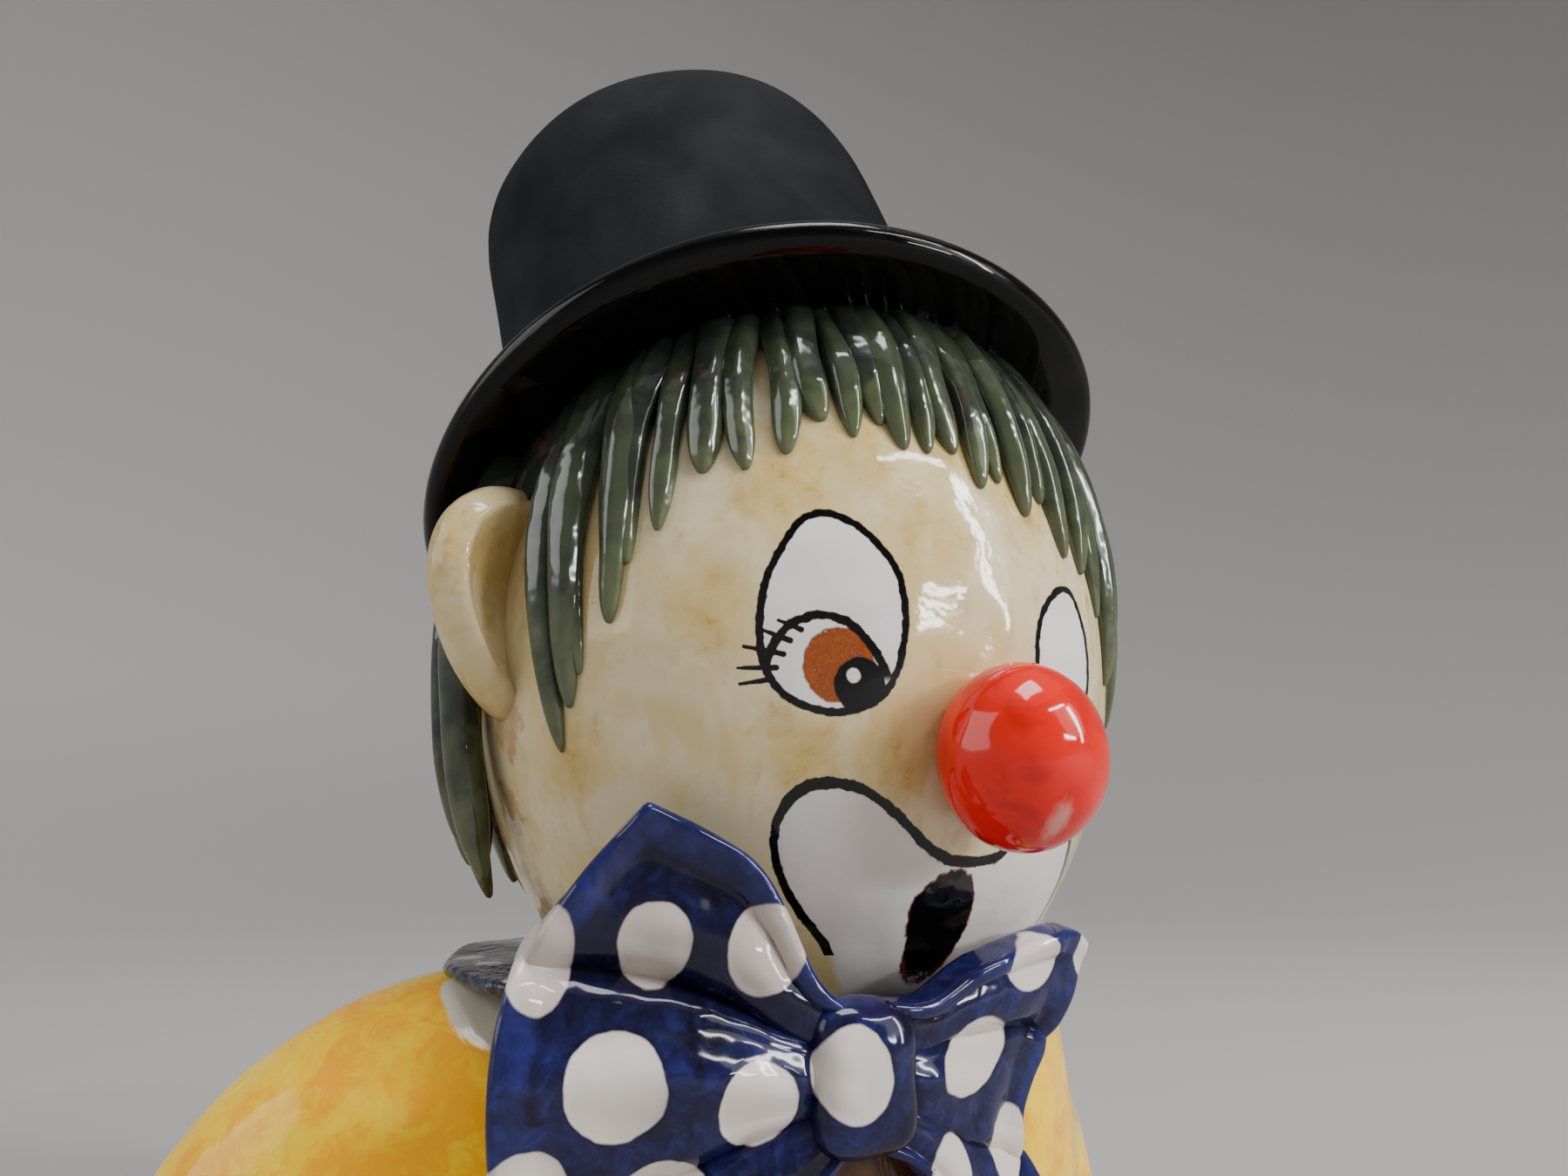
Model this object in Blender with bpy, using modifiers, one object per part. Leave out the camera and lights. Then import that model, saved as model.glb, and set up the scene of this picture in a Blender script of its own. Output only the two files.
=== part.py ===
"""Glazed ceramic clown, built as a bust: a round head with a ball nose, two ears and rolled strands
of hair, a top hat tipped back, a folded bow tie at the neck and the shoulders of a coat, cut flat
below the bow. The head looks along -Y; the shoulders and the bow are turned to the figure's right.
Metres, +Z up, with the origin in the middle of the flat underside.
"""
from math import cos, pi, radians, sin, sqrt

import bmesh
import bpy
from mathutils import Matrix, Vector

# The unit of length in the tables of the fringe and of the wings
TABLE_UNIT = 0.001

# Head, an egg standing on its centre height above the flat cut
HEAD_WIDTH = 0.0730
HEAD_DEPTH = 0.0694
HEAD_TALL = 0.0898
HEAD_CENTRE_HEIGHT = 0.0750

# Ball nose
NOSE_WIDTH = 0.0149
NOSE_TALL = 0.0166
NOSE_DROP = 0.0125
NOSE_SINK = 0.0016

# Ears, each a thick shell scooped out on its front side
EAR_TALL = 0.0245
EAR_REACH = 0.0165
EAR_THICK = 0.0110
EAR_RAISE = 0.0035
EAR_AZIMUTH = 84.0
EAR_OUT = -0.0006
EAR_SCOOP_SHARE = 0.80
EAR_SCOOP_FORWARD = 0.0040
EAR_TOP_SPREAD = 0.22
EAR_LEAN = 12.0
EAR_FAN = 20.0

# Top hat, tipped back, with a crown that leans a little more to the figure's right
BRIM_RADIUS = 0.0412
BRIM_THICKNESS = 0.0036
BRIM_WAVE = 0.0009
BRIM_WAVES = 3
BRIM_WAVE_START = 0.8
BRIM_DROOP = 0.0030
BRIM_DROOP_AROUND = 0.35
BRIM_UNDERSIDE_RADIUS = 0.0241
CROWN_BASE_RADIUS = 0.0255
CROWN_FLARE_RADIUS = 0.0268
CROWN_WAIST_RADIUS = 0.0275
CROWN_TOP_RADIUS = 0.0272
CROWN_HEIGHT = 0.0505
CROWN_WAIST_SHARE = 0.42
CROWN_BASE_SHARE = 0.10
CROWN_ROUNDING = 0.0080
CROWN_DOME = 0.0015
CROWN_DENT = 0.0022
CROWN_DENT_FROM = 0.4
CROWN_DENT_START = 0.5
CROWN_LEAN_SIDE = 3.7
CROWN_LEAN_FRONT = 4.0
HAT_RAISE = 0.0211
HAT_BACK = 0.0045
HAT_ASIDE = 0.0012
HAT_TILT_BACK = 27.0
HAT_TILT_SIDE = 2.0

# Rolled strands of hair by azimuth in degrees from the front, positive to the figure's left. The
# fringe gives for each strand where it leaves the brim, where its tip lies, and the tip's height
# above the head's centre in table units.
STRAND_THICKNESS = 0.0042
STRAND_STEPS = 4
STRAND_TUCK = 0.0020
HAIR_BED_GROWTH = 0.0008
HAIR_BED_BACK = 0.0016
HAIR_BED_RISE = 0.0020
STRAND_ROOT_SHARE = 1.30
STRAND_TIP_SHARE = 0.34
STRAND_SINK_SHARE = 0.15
STRAND_ARCH_SHARE = 0.20
FRINGE = (
    (-72.0, -68.0, -12.1),
    (-66.5, -62.5, -5.3),
    (-61.0, -59.0, -2.5),
    (-56.0, -55.0, 3.0),
    (-49.0, -51.0, 7.9),
    (-43.0, -38.0, 15.3),
    (-37.0, -31.0, 15.2),
    (-30.0, -23.0, 17.3),
    (-23.0, -16.0, 18.2),
    (-16.0, -10.5, 16.5),
    (-8.5, -4.5, 15.6),
    (-1.5, 2.0, 13.7),
    (5.5, 7.5, 12.6),
    (12.0, 14.0, 13.2),
    (18.5, 20.5, 8.8),
    (25.0, 25.0, 6.5),
    (31.0, 33.0, 0.5),
    (37.0, 41.0, -6.0),
    (44.0, 48.0, -3.5),
    (51.0, 55.0, -8.0),
    (59.0, 62.0, -6.0),
    (67.0, 70.0, -12.5),
    (76.0, 76.0, -14.0),
)
BACK_START = 92.0
BACK_SPACING = 9.0
BACK_TIP_DROP = 0.0200
BACK_TIP_VARY = 0.0025
BACK_MIDDLE_DROP = 0.0060
BACK_THICKNESS = 0.0056
BACK_HANG = 0.0040
BACK_SWEEP = 1.5

# Shoulders and coat; the near arm swings out, the far one hangs at the side
BODY_TURN = 12.0
COAT_HALF_WIDTH = 0.0305
COAT_HALF_DEPTH = 0.0275
COAT_SHOULDER_DROP = 0.0310
SHIRT_INSET = 0.0024
SHOULDER_ROUNDING = 0.0120
SHOULDER_TOP_SHARE = 0.80
COAT_FOOT_SHARE = 1.04
COAT_BELOW_CUT = 0.0040
OPENING_TOP_WIDTH = 0.0300
OPENING_FOOT_WIDTH = 0.0160
OPENING_TOP_DROP = 0.0250
OPENING_BACK = 0.0083
OPENING_FRONT = 0.0413
NEAR_SLEEVE_RADIUS = 0.0370
NEAR_SLEEVE_HALF_DEPTH = 0.0205
NEAR_SLEEVE_OUT = 0.0315
NEAR_SLEEVE_DROP = 0.0690
FAR_ARM_RADIUS = 0.0145
FAR_ARM_OUT = 0.0210
FAR_ARM_TOP_DROP = 0.0560
FAR_ARM_CAP = ((0.60, 0.0120, 0.72), (0.90, 0.0040, 0.92), (1.00, -0.0060, 1.00))
COLLAR_RADIUS = 0.0350
COLLAR_DEPTH_RADIUS = 0.0285
COLLAR_THICKNESS = 0.0022
COLLAR_DROP = 0.0322
COLLAR_RISE = 0.0030
COLLAR_ASIDE = 0.0030
COLLAR_FRONT_DROP = 0.0045

# Bow tie, two folded wings gathered in a knot
BOW_AZIMUTH = 21.0
BOW_REACH = 0.0330
BOW_DROP = 0.0390
BOW_SHEET = 0.0030
KNOT_WIDTH = 0.0100
KNOT_TALL = 0.0125
KNOT_THICK = 0.0075
KNOT_ROUNDING = 0.36
WING_COLUMNS = 6

# The wings' edges in the bow's plane, as pairs out from the knot and up, in table units
NEAR_WING_TOP = ((2.0, 5.5), (4.6, 8.2), (8.7, 16.2), (13.4, 19.6), (18.3, 21.9))
NEAR_WING_SIDE = ((18.3, 21.9), (24.6, 14.6), (28.5, 8.4), (29.8, 0.0), (28.4, -9.6), (24.0, -16.6),
                  (17.5, -21.0))
NEAR_WING_FOOT = ((2.0, -5.5), (5.0, -8.4), (9.6, -15.4), (17.5, -21.0))
NEAR_WING_SWEEP = 0.0015
FAR_WING_TOP = ((2.0, 5.5), (6.3, 5.6), (12.5, 8.5), (22.4, 10.6), (25.1, 9.6))
FAR_WING_SIDE = ((25.1, 9.6), (22.4, 3.9), (17.4, -3.8), (17.7, -9.4), (20.4, -14.6), (19.4, -18.4))
FAR_WING_FOOT = ((2.0, -5.5), (5.6, -7.4), (11.4, -14.0), (19.4, -18.4))
FAR_WING_SWEEP = 0.0070

# How far a wing stands forward of its plane, in table units, by share from its top to its foot
WING_FOLDS = ((0.0, 1.0), (0.07, 0.2), (0.17, 0.9), (0.24, 0.3), (0.30, -2.8), (0.36, 0.8),
              (0.49, 2.8), (0.62, 1.2), (0.69, -2.0), (0.75, 0.5), (0.88, 1.4), (1.0, 0.2))
FOLD_FADE = 0.45
NEAR_WING_FOLD = 1.0
FAR_WING_FOLD = 0.55

CERAMIC_COLOUR = (0.78, 0.70, 0.52, 1.0)
CERAMIC_ROUGHNESS = 0.18

HEAD_CENTRE = Vector((0.0, 0.0, HEAD_CENTRE_HEIGHT))
HEAD_RADII = Vector((HEAD_WIDTH / 2, HEAD_DEPTH / 2, HEAD_TALL / 2))


def clear_scene():
    """Remove what an earlier run or the start file left."""
    for item in list(bpy.data.objects):
        bpy.data.objects.remove(item, do_unlink=True)
    for group in list(bpy.data.collections):
        bpy.data.collections.remove(group)


def ceramic():
    """The glazed ceramic of the whole bust."""
    material = bpy.data.materials.new("glazed_ceramic")
    material.use_nodes = True
    shader = material.node_tree.nodes["Principled BSDF"]
    shader.inputs["Base Color"].default_value = CERAMIC_COLOUR
    shader.inputs["Roughness"].default_value = CERAMIC_ROUGHNESS
    shader.inputs["Metallic"].default_value = 0.0
    return material


def add_object(name, mesh, collection, hidden=False):
    """Put a mesh in the scene; a hidden one only serves a Boolean."""
    item = bpy.data.objects.new(name, mesh)
    collection.objects.link(item)
    if hidden:
        item.hide_render = True
        item.display_type = "WIRE"
    return item


def mesh_from(bm, name):
    """Close a bmesh into a mesh of flat triangles with its faces pointing out."""
    mesh = bpy.data.meshes.new(name)
    settle(bm, mesh)
    bm.free()
    return mesh


def settle(bm, mesh):
    """Triangulate a bmesh, so that no face is bent, and write it with its faces pointing out."""
    bmesh.ops.triangulate(bm, faces=bm.faces[:])
    bmesh.ops.recalc_face_normals(bm, faces=bm.faces)
    bm.to_mesh(mesh)


def evaluated_mesh(item, name):
    """Take an object with its modifiers, or a curve, as one welded mesh and remove the object."""
    graph = bpy.context.evaluated_depsgraph_get()
    mesh = bpy.data.meshes.new_from_object(item.evaluated_get(graph))
    mesh.name = name
    bm = bmesh.new()
    bm.from_mesh(mesh)
    bmesh.ops.remove_doubles(bm, verts=bm.verts, dist=0.00002)
    settle(bm, mesh)
    bm.free()
    bpy.data.objects.remove(item, do_unlink=True)
    return mesh


def ball_mesh(name, radii, segments, rings):
    """An ellipsoid from a UV sphere."""
    bm = bmesh.new()
    bmesh.ops.create_uvsphere(bm, u_segments=segments, v_segments=rings, radius=1.0)
    bmesh.ops.scale(bm, vec=radii, verts=bm.verts)
    return mesh_from(bm, name)


def turned_mesh(name, profile, steps):
    """Turn a profile, given from top to bottom on its outer side, with a Screw modifier."""
    mesh = bpy.data.meshes.new(name + "_profile")
    edges = [(index, index + 1) for index in range(len(profile) - 1)]
    mesh.from_pydata([(radius, 0.0, height) for radius, height in profile], edges, [])
    item = bpy.data.objects.new(name + "_profile", mesh)
    bpy.context.scene.collection.objects.link(item)
    screw = item.modifiers.new("turn", "SCREW")
    screw.steps = steps
    screw.render_steps = steps
    screw.use_merge_vertices = True
    screw.merge_threshold = 0.00001
    return evaluated_mesh(item, name)


def tube_mesh(name, points, radii, depth, resolution):
    """A round rod along points, tapered by radii, from a bevelled curve with filled caps."""
    curve = bpy.data.curves.new(name, "CURVE")
    curve.dimensions = "3D"
    curve.bevel_depth = depth
    curve.bevel_resolution = resolution
    curve.use_fill_caps = True
    spline = curve.splines.new("POLY")
    spline.points.add(len(points) - 1)
    for slot, point, radius in zip(spline.points, points, radii):
        slot.co = (*point, 1.0)
        slot.radius = radius
    item = bpy.data.objects.new(name, curve)
    bpy.context.scene.collection.objects.link(item)
    bpy.context.view_layer.update()
    return evaluated_mesh(item, name)


def head_point(azimuth, height, lift=0.0):
    """A point at an azimuth and a height on the head, lifted off the skin."""
    angle = radians(azimuth)
    share = sqrt(max(0.0, 1.0 - (height / HEAD_RADII.z) ** 2))
    reach = share / sqrt((sin(angle) / HEAD_RADII.x) ** 2 + (cos(angle) / HEAD_RADII.y) ** 2)
    point = Vector((reach * sin(angle), -reach * cos(angle), height))
    normal = Vector(tuple(point[axis] / HEAD_RADII[axis] ** 2 for axis in range(3))).normalized()
    return HEAD_CENTRE + point + normal * lift


def hat_frame():
    """The hat's own frame: its origin in the middle of the brim, +Z along its axis."""
    place = Matrix.Translation(HEAD_CENTRE + Vector((-HAT_ASIDE, HAT_BACK, HAT_RAISE)))
    side = Matrix.Rotation(radians(-HAT_TILT_SIDE), 4, "Y")
    back = Matrix.Rotation(radians(-HAT_TILT_BACK), 4, "X")
    return place @ side @ back


def bust_frame():
    """The shoulders' frame: +X to the figure's left, -Y to its front, at the head's centre."""
    return Matrix.Translation(HEAD_CENTRE) @ Matrix.Rotation(radians(-BODY_TURN), 4, "Z")


def bow_frame():
    """The bow's frame: its origin in the middle of the knot, -Y out of the chest."""
    round_neck = Matrix.Rotation(radians(-BOW_AZIMUTH), 3, "Z") @ Vector((0.0, -BOW_REACH, 0.0))
    place = HEAD_CENTRE + round_neck + Vector((0.0, 0.0, -BOW_DROP))
    return Matrix.Translation(place) @ Matrix.Rotation(radians(-BODY_TURN), 4, "Z")


def hairline(azimuth):
    """The height on the head at which the underside of the brim crosses an azimuth."""
    to_hat = hat_frame().inverted()
    low = -HEAD_RADII.z * 0.9
    high = HEAD_RADII.z * 0.98
    for _ in range(30):
        middle = (low + high) / 2
        above = (to_hat @ head_point(azimuth, middle)).z > -BRIM_THICKNESS / 2
        low, high = (low, middle) if above else (middle, high)
    return (low + high) / 2


def egg_under_hat(name, radii, centre):
    """An egg closed with a flat where the hat sits on it."""
    mesh = ball_mesh(name, radii, 36, 22)
    mesh.transform(Matrix.Translation(centre))
    frame = hat_frame()
    bm = bmesh.new()
    bm.from_mesh(mesh)
    everything = bm.verts[:] + bm.edges[:] + bm.faces[:]
    cut = bmesh.ops.bisect_plane(bm, geom=everything, plane_co=frame.translation,
                                 plane_no=frame.to_3x3() @ Vector((0.0, 0.0, 1.0)), clear_outer=True)
    rim = [item for item in cut["geom_cut"] if isinstance(item, bmesh.types.BMEdge)]
    bmesh.ops.holes_fill(bm, edges=rim)
    settle(bm, mesh)
    bm.free()
    return mesh


def make_head(collection, material):
    """The head, which every other piece is fused to."""
    mesh = egg_under_hat("clown_bust", HEAD_RADII, HEAD_CENTRE)
    mesh.materials.append(material)
    return add_object("clown_bust", mesh, collection)


def make_hair_bed(fused):
    """A layer of clay over the top and back of the head, which the strands are pressed into."""
    growth = Vector((HAIR_BED_GROWTH, HAIR_BED_GROWTH, HAIR_BED_GROWTH))
    centre = HEAD_CENTRE + Vector((0.0, HAIR_BED_BACK, HAIR_BED_RISE))
    mesh = egg_under_hat("hair_bed", HEAD_RADII + growth, centre)
    return add_object("hair_bed", mesh, fused, hidden=True)


def make_hat(fused):
    """Brim and crown as one turned form, then the hand-made wave, lean and dents."""
    top = CROWN_HEIGHT
    half = BRIM_THICKNESS / 2
    rounding = [(CROWN_TOP_RADIUS - CROWN_ROUNDING * (1 - sin(turn)),
                 top - CROWN_ROUNDING * (1 - cos(turn))) for turn in (0.35, 0.8, 1.2, pi / 2)]
    profile = [(0.0, top + CROWN_DOME)]
    profile += [(CROWN_TOP_RADIUS * 0.35, top + CROWN_DOME * 0.8)]
    profile += rounding
    profile += [(CROWN_WAIST_RADIUS, top * CROWN_WAIST_SHARE)]
    profile += [(CROWN_BASE_RADIUS, top * CROWN_BASE_SHARE), (CROWN_FLARE_RADIUS, half)]
    profile += [(BRIM_RADIUS + half * (cos(turn) - 1), half * sin(turn))
                for turn in (1.3, 0.6, 0.0, -0.6, -1.3)]
    profile += [(BRIM_UNDERSIDE_RADIUS, -half), (0.0, -half)]
    mesh = turned_mesh("hat", profile, 38)
    for vertex in mesh.vertices:
        place = vertex.co
        reach = Vector((place.x, place.y)).length
        outward = max(0.0, reach - CROWN_BASE_RADIUS) / (BRIM_RADIUS - CROWN_BASE_RADIUS)
        around = Vector((place.x, place.y)).angle_signed(Vector((1.0, 0.0)), 0.0)
        rise = max(0.0, place.z - half)
        place.z += BRIM_WAVE * outward * sin(BRIM_WAVES * around + BRIM_WAVE_START)
        place.z -= BRIM_DROOP * outward * max(0.0, cos(around - BRIM_DROOP_AROUND)) ** 2
        climb = max(0.0, rise / CROWN_HEIGHT - CROWN_DENT_FROM) / (1.0 - CROWN_DENT_FROM)
        dent = climb * min(1.0, reach / CROWN_TOP_RADIUS) ** 2
        place.z -= CROWN_DENT * dent * max(0.0, sin(2 * around - CROWN_DENT_START)) ** 2
        place.x -= rise * sin(radians(CROWN_LEAN_SIDE))
        place.y -= rise * sin(radians(CROWN_LEAN_FRONT))
    mesh.transform(hat_frame())
    return add_object("hat", mesh, fused, hidden=True)


def make_nose(fused):
    """The ball nose, sunk a little into the face."""
    mesh = ball_mesh("nose", (NOSE_WIDTH / 2, NOSE_WIDTH / 2, NOSE_TALL / 2), 20, 12)
    skin = head_point(0.0, -NOSE_DROP)
    mesh.transform(Matrix.Translation(skin - Vector((0.0, NOSE_WIDTH / 2 - NOSE_SINK, 0.0))))
    return add_object("nose", mesh, fused, hidden=True)


def make_ear(side, fused):
    """One ear: an upright shell that leans off the head, scooped out in front."""
    radii = Vector((EAR_REACH / 2, EAR_THICK / 2, EAR_TALL / 2))
    bm = bmesh.new()
    bmesh.ops.create_uvsphere(bm, u_segments=16, v_segments=12, radius=1.0)
    for vertex in bm.verts:
        place = vertex.co
        scoop = max(0.0, 1.0 - (place.x ** 2 + place.z ** 2) / EAR_SCOOP_SHARE ** 2)
        if place.y < 0.0:
            place.y += scoop * EAR_SCOOP_FORWARD / radii.y
        place.x *= 1.0 + EAR_TOP_SPREAD * place.z
    bmesh.ops.scale(bm, vec=radii, verts=bm.verts)
    mesh = mesh_from(bm, "ear")
    lean = Matrix.Rotation(radians(EAR_LEAN), 4, "Y")
    fan = Matrix.Rotation(radians(-EAR_FAN), 4, "Z")
    mesh.transform(Matrix.Translation(head_point(EAR_AZIMUTH, EAR_RAISE, EAR_OUT)) @ fan @ lean)
    if side < 0:
        mesh.transform(Matrix.Scale(-1.0, 4, (1.0, 0.0, 0.0)))
        mesh.flip_normals()
    name = "ear_left" if side > 0 else "ear_right"
    return add_object(name, mesh, fused, hidden=True)


def make_strand(name, root, tip, tip_height, thickness, hang, fused):
    """One rolled strand, from under the brim down the head to a pointed tip."""
    start = hairline(root) + STRAND_TUCK
    points = []
    radii = []
    for step in range(STRAND_STEPS):
        share = step / (STRAND_STEPS - 1)
        azimuth = root + (tip - root) * share
        height = start + (tip_height - start) * share
        rise = STRAND_SINK_SHARE + STRAND_ARCH_SHARE * sin(pi * share)
        lift = thickness * rise * (1 - share ** 3) + hang * share ** 2
        points.append(head_point(azimuth, height, lift))
        radii.append(STRAND_ROOT_SHARE - (STRAND_ROOT_SHARE - STRAND_TIP_SHARE) * share ** 1.3)
    mesh = tube_mesh(name, points, radii, thickness / 2, 1)
    return add_object(name, mesh, fused, hidden=True)


def make_hair(fused):
    """The fringe from side to side, then the longer strands behind the ears and round the back."""
    for index, (root, tip, height) in enumerate(FRINGE):
        name = f"fringe_strand_{index + 1:02d}"
        make_strand(name, root, tip, height * TABLE_UNIT, STRAND_THICKNESS, 0.0, fused)
    count = int((360.0 - 2 * BACK_START) / BACK_SPACING) + 1
    for index in range(count):
        root = BACK_START + index * (360.0 - 2 * BACK_START) / (count - 1)
        tip_height = -BACK_TIP_DROP + BACK_TIP_VARY * sin(index * 2.1)
        tip_height -= BACK_MIDDLE_DROP * sin(pi * index / (count - 1))
        name = f"back_strand_{index + 1:02d}"
        tip = root + BACK_SWEEP * sin(index * 1.7)
        make_strand(name, root, tip, tip_height, BACK_THICKNESS, BACK_HANG, fused)


def torso_profile(inset):
    """Half the outline of the torso, from the neck down past the flat cut."""
    top = -COAT_SHOULDER_DROP
    width = COAT_HALF_WIDTH - inset
    foot = -HEAD_CENTRE_HEIGHT - COAT_BELOW_CUT
    swell = 1.0 - SHOULDER_TOP_SHARE
    rounding = [(width * (SHOULDER_TOP_SHARE + swell * sin(turn)),
                 top - inset - SHOULDER_ROUNDING * (1 - cos(turn)))
                for turn in (0.0, 0.5, 1.0, pi / 2)]
    return [(0.0, top - inset)] + rounding + [(width * COAT_FOOT_SHARE, foot), (0.0, foot)]


def make_torso(fused):
    """The shirt's body inside the coat, and the coat open down the front over it."""
    flatten = Matrix.Scale(COAT_HALF_DEPTH / COAT_HALF_WIDTH, 4, (0.0, 1.0, 0.0))
    shirt = turned_mesh("shirt", torso_profile(SHIRT_INSET), 32)
    shirt.transform(bust_frame() @ flatten)
    add_object("shirt", shirt, fused, hidden=True)
    coat = turned_mesh("coat", torso_profile(0.0), 36)
    coat.transform(bust_frame() @ flatten)
    coat_item = bpy.data.objects.new("coat_whole", coat)
    bpy.context.scene.collection.objects.link(coat_item)
    opening = bpy.data.objects.new("coat_opening", opening_mesh())
    bpy.context.scene.collection.objects.link(opening)
    cut = coat_item.modifiers.new("opening", "BOOLEAN")
    cut.operation = "DIFFERENCE"
    cut.object = opening
    bpy.context.view_layer.update()
    open_coat = evaluated_mesh(coat_item, "coat")
    bpy.data.objects.remove(opening, do_unlink=True)
    add_object("coat", open_coat, fused, hidden=True)


def opening_mesh():
    """The wedge that opens the coat, wide at the collar and narrow at the foot."""
    bm = bmesh.new()
    bmesh.ops.create_cube(bm, size=1.0)
    foot = -HEAD_CENTRE_HEIGHT - 2 * COAT_BELOW_CUT
    for vertex in bm.verts:
        width = OPENING_TOP_WIDTH if vertex.co.z > 0 else OPENING_FOOT_WIDTH
        vertex.co.x *= width
        vertex.co.y = -OPENING_FRONT if vertex.co.y < 0 else -OPENING_BACK
        vertex.co.z = -OPENING_TOP_DROP if vertex.co.z > 0 else foot
    mesh = mesh_from(bm, "coat_opening")
    mesh.transform(bust_frame())
    return mesh


def make_arms(fused):
    """The near sleeve, puffed out in a round shoulder, and the far sleeve, hanging at the side."""
    frame = bust_frame()
    foot = -HEAD_CENTRE_HEIGHT - COAT_BELOW_CUT
    radii = (NEAR_SLEEVE_RADIUS, NEAR_SLEEVE_HALF_DEPTH, NEAR_SLEEVE_RADIUS)
    near = ball_mesh("near_sleeve", radii, 26, 18)
    near.transform(frame @ Matrix.Translation((-NEAR_SLEEVE_OUT, 0.0, -NEAR_SLEEVE_DROP)))
    add_object("near_sleeve", near, fused, hidden=True)
    points = [frame @ Vector((FAR_ARM_OUT * out, 0.0, rise - FAR_ARM_TOP_DROP))
              for out, rise, _ in FAR_ARM_CAP]
    points.append(frame @ Vector((FAR_ARM_OUT, 0.0, foot)))
    sizes = [size for _, _, size in FAR_ARM_CAP] + [1.0]
    far = tube_mesh("far_sleeve", points, sizes, FAR_ARM_RADIUS, 4)
    add_object("far_sleeve", far, fused, hidden=True)


def make_collar(fused):
    """The ribbon round the neck, a soft ring lying on the shoulders."""
    half = COLLAR_THICKNESS / 2
    turns = [pi / 2 - step * pi / 4 for step in range(5)]
    rounds = [(COLLAR_RADIUS - half + half * cos(turn), half * sin(turn)) for turn in turns]
    profile = [(0.0, COLLAR_RISE)] + rounds + [(0.0, -half)]
    mesh = turned_mesh("collar", profile, 36)
    flatten = Matrix.Scale(COLLAR_DEPTH_RADIUS / COLLAR_RADIUS, 4, (0.0, 1.0, 0.0))
    for vertex in mesh.vertices:
        vertex.co.z -= COLLAR_FRONT_DROP * (max(0.0, -vertex.co.y) / COLLAR_RADIUS) ** 2
    place = Matrix.Translation((-COLLAR_ASIDE, 0.0, -COLLAR_DROP))
    mesh.transform(bust_frame() @ place @ flatten)
    return add_object("collar", mesh, fused, hidden=True)


def along_line(points, share):
    """The place at a share of the length of a line of straight pieces."""
    steps = [(Vector(right) - Vector(left)).length for left, right in zip(points, points[1:])]
    left_over = share * sum(steps)
    for first, second, step in zip(points, points[1:], steps):
        if left_over <= step:
            return Vector(first).lerp(Vector(second), left_over / step)
        left_over -= step
    return Vector(points[-1])


def wing_place(top, side, foot, along, down):
    """A place on a wing's sheet, spread evenly between its four edges, in table units."""
    upper = along_line(top, along)
    lower = along_line(foot, along)
    outer = along_line(side, down)
    root_top = Vector(top[0])
    root_foot = Vector(foot[0])
    inner = root_top.lerp(root_foot, down)
    corners = root_top.lerp(Vector(top[-1]), along).lerp(root_foot.lerp(Vector(foot[-1]), along), down)
    return upper.lerp(lower, down) + inner.lerp(outer, along) - corners


def make_wing(name, side, edges, sweep, depth, fused):
    """One wing: a folded sheet from the knot to its outer edge, thickened and with softened rims."""
    bm = bmesh.new()
    rows = len(WING_FOLDS) - 1
    bmesh.ops.create_grid(bm, x_segments=WING_COLUMNS, y_segments=rows, size=0.5)
    for vertex in bm.verts:
        along = vertex.co.x + 0.5
        down, forward = WING_FOLDS[round((0.5 - vertex.co.y) * rows)]
        out, up = wing_place(*edges, along, down) * TABLE_UNIT
        ramp = depth * sin(pi / 2 * min(1.0, 2 * along)) * (1 - FOLD_FADE * along ** 3)
        y = sweep * along ** 1.5 - forward * ramp * TABLE_UNIT
        vertex.co = (side * out, y, up)
    mesh = bpy.data.meshes.new(name)
    bm.to_mesh(mesh)
    bm.free()
    item = bpy.data.objects.new(name, mesh)
    bpy.context.scene.collection.objects.link(item)
    thick = item.modifiers.new("sheet", "SOLIDIFY")
    thick.thickness = BOW_SHEET
    thick.offset = 0.0
    soft = item.modifiers.new("rims", "BEVEL")
    soft.width = BOW_SHEET * 0.3
    soft.segments = 1
    soft.limit_method = "ANGLE"
    soft.angle_limit = radians(60.0)
    bpy.context.view_layer.update()
    solid = evaluated_mesh(item, name)
    solid.transform(bow_frame())
    return add_object(name, solid, fused, hidden=True)


def make_knot(fused):
    """The knot: a rounded pad over the roots of both wings."""
    bm = bmesh.new()
    bmesh.ops.create_cube(bm, size=1.0)
    bmesh.ops.scale(bm, vec=(KNOT_WIDTH, KNOT_THICK, KNOT_TALL), verts=bm.verts)
    bmesh.ops.bevel(bm, geom=bm.edges[:], offset=KNOT_WIDTH * KNOT_ROUNDING, segments=3, profile=0.5,
                    affect="EDGES")
    mesh = mesh_from(bm, "knot")
    mesh.transform(bow_frame())
    return add_object("knot", mesh, fused, hidden=True)


def make_base_cutter(cutters):
    """The block under the bust that cuts it flat."""
    bm = bmesh.new()
    bmesh.ops.create_cube(bm, size=1.0)
    block = 4 * HEAD_CENTRE_HEIGHT
    bmesh.ops.scale(bm, vec=(block, block, block), verts=bm.verts)
    bmesh.ops.translate(bm, vec=(0.0, 0.0, -block / 2), verts=bm.verts)
    return add_object("base_cutter", mesh_from(bm, "base_cutter"), cutters, hidden=True)


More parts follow.
